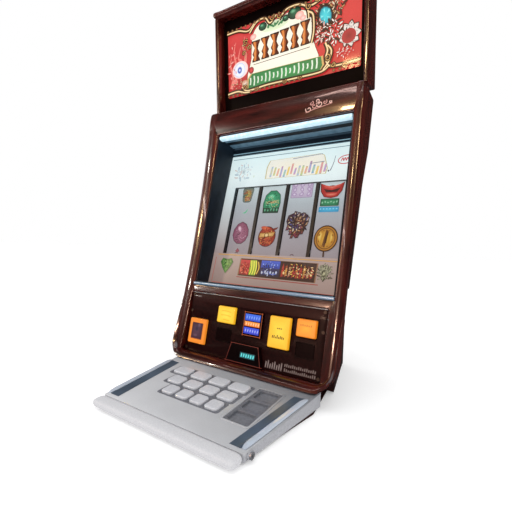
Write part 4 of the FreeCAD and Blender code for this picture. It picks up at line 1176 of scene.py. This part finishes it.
    # fourth strip: red lips over a green block and a blue bar, gilded coin
    d -= 4
    lips = [(d - 34, 287), (d - 12, 277), (d, 279), (d + 14, 277), (d + 34, 288), (d + 29, 262),
            (d + 18, 246), (d, 242), (d - 20, 246), (d - 31, 262)]
    art.area(lips, "d93a34", "b3201f", "6b1210", 0.92)
    art.area([(d - 28, 282), (d - 12, 273), (d, 275), (d + 14, 273), (d + 28, 283), (d + 20, 275),
              (d, 269), (d - 20, 274)], "f08a78", "d9483e")
    art.area([(d - 24, 270), (d, 265), (d + 24, 271), (d + 15, 259), (d - 15, 259)], "30101a",
             "541a1c")
    art.area([(d - 18, 256), (d + 17, 256), (d + 10, 249), (d - 11, 249)], "f28a72", "d8483c")
    art.area(rect(d - 28, d + 24, 220, 241, 2), "2fa06a", "1d6f4c", "134a34", 0.93)
    for i in range(6):
        art.area(circle(d - 22 + 8 * i, 230 + 2 * (i % 2), 3, 4.4, 8, 0.6 * i), "a6e8c0", "238a5a")
    art.area(rect(d - 30, d + 26, 203, 218, 2), "4cc0e8", "2c98c8")
    for i in range(6):
        art.area(circle(d - 25 + 9 * i, 212, 3.4, 2.4, 8), "a8e6f6", "4cc0e8")
    art.band([(d + 1, 80), (d, 100)], 4.4, "4a2a14")
    art.area(circle(d + 1, 130, 33, 36, 30), "e3a834", "b87520", "3f2210", 0.91)
    art.band([(p.x, p.y) for p in circle(d + 1, 130, 25, 28, 18)], 2.2, "7a4813", closed=True)
    art.area([(d - 7, 108), (d + 1, 105), (d + 8, 150), (d, 155)], "5a3010", "7d4a18")
    art.area([(d - 1, 112), (d + 4, 118), (d + 6, 146), (d + 3, 150)], "2c1608", "5a3010")
    art.area([(d - 22, 132), (d - 13, 118), (d - 9, 144), (d - 16, 150)], "f6d877", "d99c30")
    art.area([(d + 12, 114), (d + 21, 127), (d + 19, 145), (d + 12, 149)], "f3cf66", "d08f28")
    for i in range(8):
        a0 = 0.4 + i * 0.78
        art.area(circle(d + 1 + 20 * math.cos(a0), 130 + 23 * math.sin(a0), 2.6, 3.6, 8, a0),
                 "8f5a1a", "c4801f")
    d += 4
    for x, s in ((a, 79), (c, 80)):
        art.band([(x - 6, s), (x, s + 3), (x + 5, s)], 2.4, "6b5054")
    return art


draw_strips().piece("printed_strips", "cabinet", DISPLAY, [STRIP_PAINTED_GLOW, STRIP_PAINTED_GLOW], "strip_print",
                    ["reel_strips"])

# ---------------------------------------------------------------- button panel

BUTTONS = {"left": (-165, 21, 60, 69), "bet": (-73.5, 78, 58, 45), "play": (90, 57.5, 58, 77),
           "right": (159, 78, 50, 42)}
CREDIT = (11, 65, 58, 64)


def hole(x, s, w, h, grow=0.0, radius=4.0):
    return rect(x - w / 2 - grow, x + w / 2 + grow, s - h / 2 - grow, s + h / 2 + grow, radius)


panel = Form()
panel.add(plate([rect(-206.6, 206.6, -36.6, 128.6, 3)]
                + [hole(*BUTTONS[k], 0.6) for k in BUTTONS] + [hole(*CREDIT, 0.3, 2)],
                12, 15, 0.6, 2, rows=ROWS))
for x, s, w, h in ((-77, 24, 50, 36), (159, 27, 48, 36)):
    panel.add(plate([hole(x, s, w, h), hole(x, s, w - 5, h - 5, 0, 2)], 11.3, 12.2, 0.4, 2), 1)
    panel.add(plate([hole(x, s, w - 5, h - 5, 0, 2)], 11.8, 12.2, 0.1, 1), 1)
for x, s, w, h in BUTTONS.values():
    panel.add(plate([hole(x, s, w, h, 2.6, 5), hole(x, s, w, h, 0.5)], 11.0, 12.4, 0.6, 3), 1)
panel.add(plate([rect(-206, 206, 126.6, 128.4, 0.8, 2)], 9.6, 12.2, 0.8, 3), 2)
panel.piece("button_panel_face", "front_door", FACE, [PANEL, DARK_PANEL, STEEL], "panel_dark",
            ["button_panel"])


def lit_cap(name, colours, dark=None):
    """Pressed button cap: rounded block with a glowing face, and a dark inner window if asked."""
    x, s, w, h = BUTTONS[name]
    middle, edge, side = colours
    cap = Artwork(5.0, 0)
    cap.add(plate([hole(x, s, w, h, -0.4, 4)], 5.0, 17.0, 2.6, 5))
    cap.inks = [tone(side)] * len(cap.corners)
    cap.area(hole(x, s, w, h, -2.6, 3), middle, edge)
    if dark:
        cap.area(hole(x, s, w * 0.66, h * 0.66, 0, 2), *dark, centre=(x - 3, s + 6))
    return cap, x, s


def finish_cap(name, cap):
    stem_end = spread("panel_button_" + name, FACE)[1].y
    x, s = BUTTONS[name][:2]
    cap.add(plate([rect(x - 6, x + 6, s - 6, s + 6, 1)], 16.5, stem_end, 0.3, 1, 0.3), 1)
    cap.piece("button_cap_" + name, f"panel_button_{name}_body", FACE, [CAP, BLACK],
              "button_yellow" if name in ("bet", "play") else "button_orange",
              ["panel_button_" + name])


cap, x, s = lit_cap("left", ("ffa63a", "f98a1c", "f08a24"), ("5c3a4c", "3b2233", "a8501c",
                                                                       0.93))
cap.area(circle(x - 2, s + 6, 7, 8, 14), "2c2038", "4a3448")
cap.area(circle(x + 6, s + 16, 5, 6, 10), "6b5568", "54394c")
cap.area(circle(x - 4, s - 12, 8, 4, 10), "6b4a58", "54384a")
finish_cap("left", cap)
cap, x, s = lit_cap("bet", ("ffe14a", "ffc928", "f7b722"))
cap.band([(x - 16, s + 9), (x, s + 10), (x + 16, s + 8)], 2, "e9b21c")
cap.band([(x - 17, s - 2), (x, s - 1), (x + 17, s - 3)], 2.4, "f2bd20")
cap.band([(x - 8, s - 13), (x + 14, s - 14)], 2, "e9b21c")
finish_cap("bet", cap)
cap, x, s = lit_cap("play", ("ffdc3f", "ffbf22", "f6ad1e"))
for i in range(3):
    cap.area(rect(x - 6 + 5 * i, x - 2.4 + 5 * i, s + 8, s + 10.6, 0.6, 2), "5a3408", "8c5a14")
for i in range(8):
    tall = 6 + 2.4 * math.sin(2.6 * i)
    cap.area([(x - 17 + 4.3 * i, s - 15), (x - 14.6 + 4.3 * i, s - 15),
              (x - 14 + 4.3 * i, s - 15 + tall), (x - 16.6 + 4.3 * i, s - 14 + tall)],
             "4f2c06", "7a4a10")
finish_cap("play", cap)
cap, x, s = lit_cap("right", ("ffaa22", "f88e14", "ee8418"))
for i in range(6):
    cap.area(rect(x - 15 + 5.2 * i, x - 12 + 5.2 * i, s + 4, s + 8 + (i % 2), 0.6, 2), "e07c14",
             "c9680e")
finish_cap("right", cap)

x, s, w, h = CREDIT
low, high = spread("credit_display", FACE)
credit = Artwork(low.y, 1)
credit.add(plate([hole(x, s, w, h, -0.1, 2)], low.y, high.y, 1.2, 3, 0.6), 0)
credit.band([(p.x, p.y) for p in hole(x, s, w, h, -2.6, 2)], 1.3, "b8562c", closed=True)
for low_s, high_s, dark, light, mark in (
        (s + 8, s + 25, "1c46c8", "2f6bea", "8fb8ff"), (s - 6, s + 6, "e8641c", "ff9a3a", "ffe2b8"),
        (s - 25, s - 9, "1f33c0", "3350e4", "c3ccff")):
    credit.wash(x - 24, x + 22, low_s, high_s, dark, light)
    for i in range(6):
        mid = (low_s + high_s) / 2
        credit.area([(x - 21 + 7.3 * i, mid - 4), (x - 17 + 7.3 * i, mid - 5),
                     (x - 15.5 + 7.3 * i, mid + 4), (x - 20 + 7.3 * i, mid + 5)], mark, light)
credit.piece("credit_screen", "front_door", FACE, [BLACK_GLASS, LIT], "display_dark",
             ["credit_display"])

low, high = spread("label_housing", FACE)
TRAPEZOID = [(-51.8, -35), (55.8, -35), (43, 13.8), (-40, 13.8)]
housing = Artwork(low.y, 2)
housing.add(plate([rounded(TRAPEZOID, [3, 3, 6, 6])], low.y, high.y, 2.2, 5), 0)
rim = [(p.x, p.y) for p in inset(rounded(TRAPEZOID, [3, 3, 6, 6], 3), 1.6)]
housing.band(rim, 1.2, "7a2f24", closed=True)
housing.area([(-9, -20), (36, -20), (37, -6), (-8, -6)], "19666c", "0e3d42")
for i in range(6):
    x = -6 + 7 * i
    housing.area([(x, -18), (x + 4.5, -18 + (i % 2)), (x + 5.5, -9), (x + 1, -8)], "7ff4f2",
                 "29c2c6")
housing.piece("label_block", "front_door", FACE, [DARK_PANEL, BLACK, LIT], "panel_dark",
              ["label_housing"])

# painted light: the grey marks use the glowing soft lit print although they are no lamp
marks = Artwork(11.98, 0, step=0.01)
for i in range(8):
    x, tall = 60 + 6.1 * i, 15 + 4 * math.sin(2.1 * i)
    marks.area([(x, -31), (x + 3.6, -31), (x + 4.4, -31 + tall), (x + 0.8, -30 + tall)], "8f807c",
               "5f4c49")
for i in range(16):
    x = 112 + 5.1 * i
    for low_s, tall in ((-19, 7 + 1.2 * math.sin(1.9 * i)), (-30, 6.6 + 1.6 * math.cos(1.3 * i))):
        marks.area([(x, low_s), (x + 3.4, low_s), (x + 3.8, low_s + tall), (x + 0.5, low_s + tall)],
                   "7d6d69", "54423f")
marks.piece("panel_marks", "front_door", FACE, [SOFT_PRINT], "panel_dark")

# ---------------------------------------------------------------- deck

DECK_TOP = material("deck silver painted shade", PRINTED, relief=0.00003, coat=0.4, paper=1.0, mottle=0.16,
                    roughness=0.34)
deck = Form()
keys = {}
for row in (1, 2, 3):
    for column in (1, 2, 3, 4):
        name = f"deck_key_{row}{column}"
        keys[name] = spread(name, DECK)
tray_low, tray_high = spread("pocket_tray", DECK)
outer = rounded([(-183, -231), (183, -231), (209, 34), (-209, 34)], [3, 3, 2, 2])
holes = [rect(lo.x - 0.6, hi.x + 0.6, lo.y - 0.6, hi.y + 0.6, 8, 5) for lo, hi in keys.values()]
tray = rect(tray_low.x, tray_high.x, tray_low.y, tray_high.y, 4)
deck.add(plate([outer, tray] + holes, 0, 4, 0.8, 3, rows=range(-210, 30, 20),
               columns=range(-190, 200, 20)))
for row, low_y, high_y in ((1, -77, -33), (2, -120.5, -77), (3, -164, -120.5)):
    spots = [keys[k] for k in keys if k[-2] == str(row)]
    field = rect(min(lo.x for lo, _ in spots) - 7, max(hi.x for _, hi in spots) + 7, low_y, high_y,
                 6)
    deck.add(plate([field] + [rect(lo.x - 0.5, hi.x + 0.5, lo.y - 0.5, hi.y + 0.5, 8, 5)
                              for lo, hi in spots], -0.5, 0.3, 0.4, 2), 1)
deck.add(plate([rect(tray_low.x - 5, tray_high.x + 5, tray_low.y - 5, tray_high.y + 5, 7), tray],
               -1.4, 0.3, 1.2, 3), 0)
# painted shade: the deck's inks darken from pale silver at the front left to grey at the rear right
for i, c in enumerate(deck.corners):
    share = max(0.0, min(1.0, 0.1 + (c.x + 209) / 418 * 0.5 + (c.z + 231) / 265 * 0.42))
    deck.inks[i] = [a + (b - a) * share ** 1.6 for a, b in zip(tone("d8d9dc"), tone("74767c"))]
deck.piece("deck_top", "cabinet", LAID, [DECK_TOP, POCKET], "deck_silver", ["deck_plate"])

for name, (lo, hi) in keys.items():
    cap = Form()
    made = plate([rect(lo.x, hi.x, lo.y, hi.y, 8, 7)], -hi.z, 3, 3.6, 7)
    cap.add(made, 0)
    mid_x, mid_y = (lo.x + hi.x) / 2, (lo.y + hi.y) / 2
    cap.add(plate([rect(mid_x - 4, mid_x + 4, mid_y - 4, mid_y + 4, 1, 2)], 2.8, -lo.z, 0.3, 1), 0)
    cap.piece(name.replace("deck_key", "key_cap"), name + "_body", LAID, [KEYS, POCKET],
              "key_grey", [name])

pockets = Form()
third = (tray_high.y - tray_low.y) / 3
cells = []
for k in range(3):
    mid = tray_low.y + third * (k + 0.5)
    cells.append(rect(96.5, 141.5, mid - 17, mid + 17, 5))
pockets.add(plate([rect(tray_low.x + 0.2, tray_high.x - 0.2, tray_low.y + 0.2, tray_high.y - 0.2,
                        4)] + cells, 0, 6.4,
                  1.6, 4), 0)
pockets.add(plate([rect(tray_low.x + 0.5, tray_high.x - 0.5, tray_low.y + 0.5, tray_high.y - 0.5,
                        4)], 6.2, 8, 0.4, 1), 0)
pockets.piece("pocket_insert", "cabinet", LAID, [POCKET], "key_grey", ["pocket_tray"])

back = DECK.inverted()
rail_points = [back @ v.co for v in NODES["chrome_rails"].data.vertices]
rail_front = min(p.y for p in rail_points)
rail_back = max(p.y for p in rail_points)


def rail_middle(y):
    """Distance of a rail's middle from the centre line at its front or rear end."""
    near = [abs(p.x) for p in rail_points if abs(p.y - y) < 4]
    return (min(near) + max(near)) / 2


X_FRONT, X_BACK = rail_middle(rail_front), rail_middle(rail_back)


def along_rail(side, profile, count=31, ends=True):
    """Skin of a section carried along one side rail; the section is (inward, up)."""
    rings = []
    for i in range(count):
        t = i / (count - 1)
        y = rail_front + 2 + (rail_back - rail_front - 4) * t
        x = X_FRONT + (X_BACK - X_FRONT) * t
        end = min(1, t * 12, (1 - t) * 12) ** 0.5 * 0.5 + 0.5 if ends else 1
        rings.append([(side * (x + u * end), y, w * end) for u, w in profile])
    return lofted(rings)


section = []
for k in range(24):
    c, q = math.cos(math.tau * k / 24), math.sin(math.tau * k / 24)
    section.append((-1.8 + 6.2 * math.copysign(abs(c) ** 0.7, c),
                    2.5 + 2.4 * math.copysign(abs(q) ** 0.7, q)))
trough = [(-30, 0.1), (-30, 0.5), (-24, 0.75), (-16, 0.8), (-10, 1.4), (-7, 2.6), (-6, 0.1)]
rails, channels = Form(), Form()
for side in (-1, 1):
    rails.add(along_rail(side, section))
    channels.add(along_rail(side, trough, ends=False))
rails.piece("side_rails", "cabinet", DECK, [PALE_METAL_PAINTED_SHEEN], "chrome", ["chrome_rails"])
channels.piece("rail_channels", "cabinet", DECK, [CHANNEL], "chrome")

low, high = spread("arm_rest", DECK)
rings = []
for i in range(73):
    t = i / 72
    x = low.x + (high.x - low.x) * (0.5 - 0.5 * math.cos(math.pi * t))
    end = max(0.0, (abs(2 * (x - low.x) / (high.x - low.x) - 1) - 0.93) / 0.07)
    full = 0.62 + 0.38 * math.sqrt(max(0.0, 1 - end * end))
    ring = []
    for k in range(40):
        a = math.tau * k / 40
        c, q = math.cos(a), math.sin(a)
        swell = 0.45 * noise.noise(Vector((x * 0.03, c * 0.8, q * 0.8)))
        crown_share = 1 + 0.02 * math.cos(x / 183 * math.pi)
        ring.append((x, (low.y + high.y) / 2 + ((high.y - low.y) / 2 - 0.5 + swell * 0.6)
                     * math.copysign(abs(c) ** 0.62, c) * full,
                     (low.z + high.z) / 2 + ((high.z - low.z) / 2 - 0.6 + swell)
                     * math.copysign(abs(q) ** 0.6, q) * full * min(1.0, crown_share)))
    rings.append(ring)
rest = Form().add(lofted(rings)).piece("hand_rest", "cabinet", DECK, [REST], "rest_grey",
                                       ["arm_rest"], 60)

low, high = spread("deck_lock", Matrix.Scale(0.001, 4))
mid_y, mid_z = (low.y + high.y) / 2, (low.z + high.z) / 2
radius = (high.z - low.z) / 2
lock = Form()
for r0, r1, x0, x1, kind in ((6.8, 6.8, 187.4, 190.0, 0), (4.9, 4.6, 189.4, 190.3, 1),
                             (4.9, 4.9, 176, 187.6, 0)):
    rings = []
    for r, x in ((r0 * 0.9, x0), (r0, x0 + 0.4), (r1, x1 - 0.5), (r1 * 0.9, x1), (r1 * 0.5, x1)):
        rings.append([(x, mid_y + r * math.cos(math.tau * k / 32),
                       mid_z + r * math.sin(math.tau * k / 32))
                      for k in range(32)])
    lock.add(lofted(rings), kind)
lock.add(([(190.32, mid_y - 0.5, mid_z - 3), (190.32, mid_y + 0.5, mid_z - 3),
           (190.32, mid_y + 0.5, mid_z + 3), (190.32, mid_y - 0.5, mid_z + 3)], [[0, 1, 2, 3]]), 2)
lock.piece("lock_face", "lock_barrel", Matrix.Scale(0.001, 4), [PALE_METAL_PAINTED_SHEEN, STEEL, BLACK], "chrome")

# ---------------------------------------------------------------- CAD nodes shown as they are

SHOWN = {
    "door_pan": (DARK_STEEL, "steel_dark"),
    "display_glass": (GLASS, "clear_glass"), "panel_screws": (BRONZE, "steel_bright"),
    "button_cups": (BLACK, "black_plastic"), "hinge_door_leaves": (STEEL, "steel_bright"),
    "hinge_post_leaves": (STEEL, "steel_bright"), "reel_frame": (DARK_STEEL, "steel_dark"),
    "reel_motors": (BLACK, "black_plastic"), "reel_shafts": (STEEL, "steel_bright"),
    "cabinet_shell": (CABINET_PAINT, "steel_dark"), "power_inlet": (BLACK, "black_plastic"),
    "rear_cover": (DARK_STEEL, "steel_dark"), "cover_screws": (STEEL, "steel_bright"),
    "fan_frame": (BLACK, "black_plastic"), "fan_rotor": (BLACK, "black_plastic"),
    "power_supply": (STEEL, "steel_bright"), "logic_box": (STEEL, "steel_bright"),
    "base_plate": (CABINET_PAINT, "steel_dark"), "neck_bracket": (DARK_STEEL, "steel_dark"),
    "key_guide": (BLACK, "black_plastic"), "deck_housing": (CRATE, "deck_silver"),
    "deck_lock": (STEEL, "steel_bright"), "marquee_lamp": (WARM_LAMP, "lamp_white"),
}
for k in range(1, 5):
    SHOWN[f"drive_roller_{k}"] = (BLACK, "black_plastic")
for name, (finish, slot_name) in SHOWN.items():
    shown = NODES[name]
    if shown.data.materials:
        for i in range(len(shown.data.materials)):
            shown.data.materials[i] = finish
    else:
        shown.data.materials.append(finish)
    if finish is not GLASS:
        ease = shown.modifiers.new("eased edges", "BEVEL")
        ease.width = 0.0009
        ease.segments = 2
        ease.limit_method = "ANGLE"
        ease.angle_limit = math.radians(35)

# ---------------------------------------------------------------- stage, light and camera

def seen_only(nodes, links, outward, inward):
    """Bright for the camera and for soft light, dim in polished reflections."""
    path = nodes.new("ShaderNodeLightPath")
    mixed = nodes.new("ShaderNodeMixShader")
    links.new(path.outputs["Is Glossy Ray"], mixed.inputs[0])
    links.new(outward, mixed.inputs[1])
    links.new(inward, mixed.inputs[2])
    return mixed.outputs[0]


floor_mesh = bpy.data.meshes.new("floor")
floor_mesh.from_pydata([(-30, -30, 0), (30, -30, 0), (30, 30, 0), (-30, 30, 0)], [], [[0, 1, 2, 3]])
floor = bpy.data.objects.new("floor", floor_mesh)
scene.collection.objects.link(floor)
pale = worn("pale floor", "f6f6f6", "f3f3f3", "f6f6f6", grain_scale=3.0, roughness=0.8, relief=0.0,
            glow=0.3)
dim = pale.node_tree.nodes.new("ShaderNodeBsdfDiffuse")
dim.inputs["Color"].default_value = (0.05, 0.035, 0.035, 1)
pale.node_tree.links.new(
    seen_only(pale.node_tree.nodes, pale.node_tree.links,
              pale.node_tree.nodes["Principled BSDF"].outputs[0], dim.outputs[0]),
    pale.node_tree.nodes["Material Output"].inputs["Surface"])
floor_mesh.materials.append(pale)
floor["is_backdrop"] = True

world = bpy.data.worlds.new("studio")
scene.world = world
world.use_nodes = True
tree = world.node_tree
tree.nodes.clear()
out = tree.nodes.new("ShaderNodeOutputWorld")
seen = tree.nodes.new("ShaderNodeBackground")
seen.inputs["Color"].default_value = (1, 1, 1, 1)
seen.inputs["Strength"].default_value = 1.0
room = tree.nodes.new("ShaderNodeBackground")
room.inputs["Color"].default_value = (0.05, 0.02, 0.018, 1)
tree.links.new(seen_only(tree.nodes, tree.links, seen.outputs[0], room.outputs[0]),
               out.inputs["Surface"])


def lamp_at(name, place, aim, size_x, size_y, power, colour=(1, 1, 1), soft=True):
    data = bpy.data.lights.new(name, "AREA")
    data.shape = "RECTANGLE"
    data.size, data.size_y = size_x, size_y
    data.energy = power
    data.color = colour
    made = bpy.data.objects.new(name, data)
    scene.collection.objects.link(made)
    made.location = place
    made.rotation_mode = "QUATERNION"
    made.rotation_quaternion = (Vector(aim) - Vector(place)).to_track_quat("-Z", "Y")
    made.visible_diffuse = soft
    made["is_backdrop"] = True
    return made


EYE = Vector((0.475, -0.7425, 0.350))
GLINT_REACH, STREAK_REACH, STREAK_TALL = 1.6, 1.8, 0.03


def mirrored(name, at, place, normal, reach, size_x, size_y, power, colour):
    """Lamp placed where a polished spot mirrors it to the camera."""
    spot = at @ Vector(place)
    square = (at.to_3x3() @ Vector(normal)).normalized()
    view = (EYE - spot).normalized()
    way = 2 * square.dot(view) * square - view
    lamp_at(name, spot + way * reach, spot, size_x, size_y, power, colour, False)


def glint(name, at, place, normal, power, size=0.06, colour=(1, 0.62, 0.3)):
    mirrored(name, at, place, normal, GLINT_REACH, size, size, power, colour)


def front_glint(name, x, s, lean, power, **more):
    slope = -2 * (s - HOLLOW_MIDDLE) / FRONT_BEND
    glint(name, FACE, (x, hollow(s) - 2, s), (lean, -1, slope), power, **more)


middle = (cad_low + cad_high) / 2
lamp_at("overhead", (0.2, -0.9, 2.4), (0, -0.1, 0.2), 1.6, 1.0, 9, (0.94, 0.97, 1))
lamp_at("left fill", (-2.2, -0.6, 1.0), middle, 0.5, 1.6, 3, (0.85, 0.93, 1))
front_glint("glint left stile", -224, 330, 0.0, 5, size=0.13)
front_glint("glint left high", -209, 512, 0.0, 1.5, size=0.05, colour=(1, 0.95, 0.85))
front_glint("glint left low", -209, 150, 0.0, 1.5, size=0.05, colour=(1, 0.93, 0.85))
front_glint("glint right stile", 229, 440, 0.0, 3.5, size=0.1)
front_glint("glint right low", 229, 70, 0.0, 6, size=0.16, colour=(1, 0.6, 0.42))
glint("glint column", TOP, (234, 0, 130), (0.3, -1, 0), 6, size=0.2)
glint("glint foot", FACE, (228, -6, -30), (0.5, -0.9, -0.3), 5, size=0.14, colour=(1, 0.75, 0.4))


def streak(name, x, s, lean, power, wide, colour):
    """Long low lamp whose thin image runs across the door's rails."""
    mirrored(name, FACE, (x, hollow(s) - 2, s), (0, -1, lean), STREAK_REACH, wide, STREAK_TALL,
             power, colour)


streak("streak header", 20, 640, 0.06, 2.2, 1.6, (1, 0.7, 0.62))
streak("streak sill", 0, 138, 0.2, 1.6, 1.2, (1, 0.8, 0.74))

camera = bpy.data.objects.new("camera", bpy.data.cameras.new("camera"))
scene.collection.objects.link(camera)
scene.camera = camera
camera.data.sensor_width = 36
camera.data.lens = 23.90625
camera.data.clip_start = 0.01
camera.matrix_world = Matrix((
    (0.84351232, -0.04497452, 0.53522356, EYE.x),
    (0.53576568, 0.0, -0.84436671, EYE.y),
    (0.03797499, 0.99898813, 0.0240958, EYE.z),
    (0, 0, 0, 1)))
scene.view_settings.view_transform = "Standard"

low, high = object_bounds()
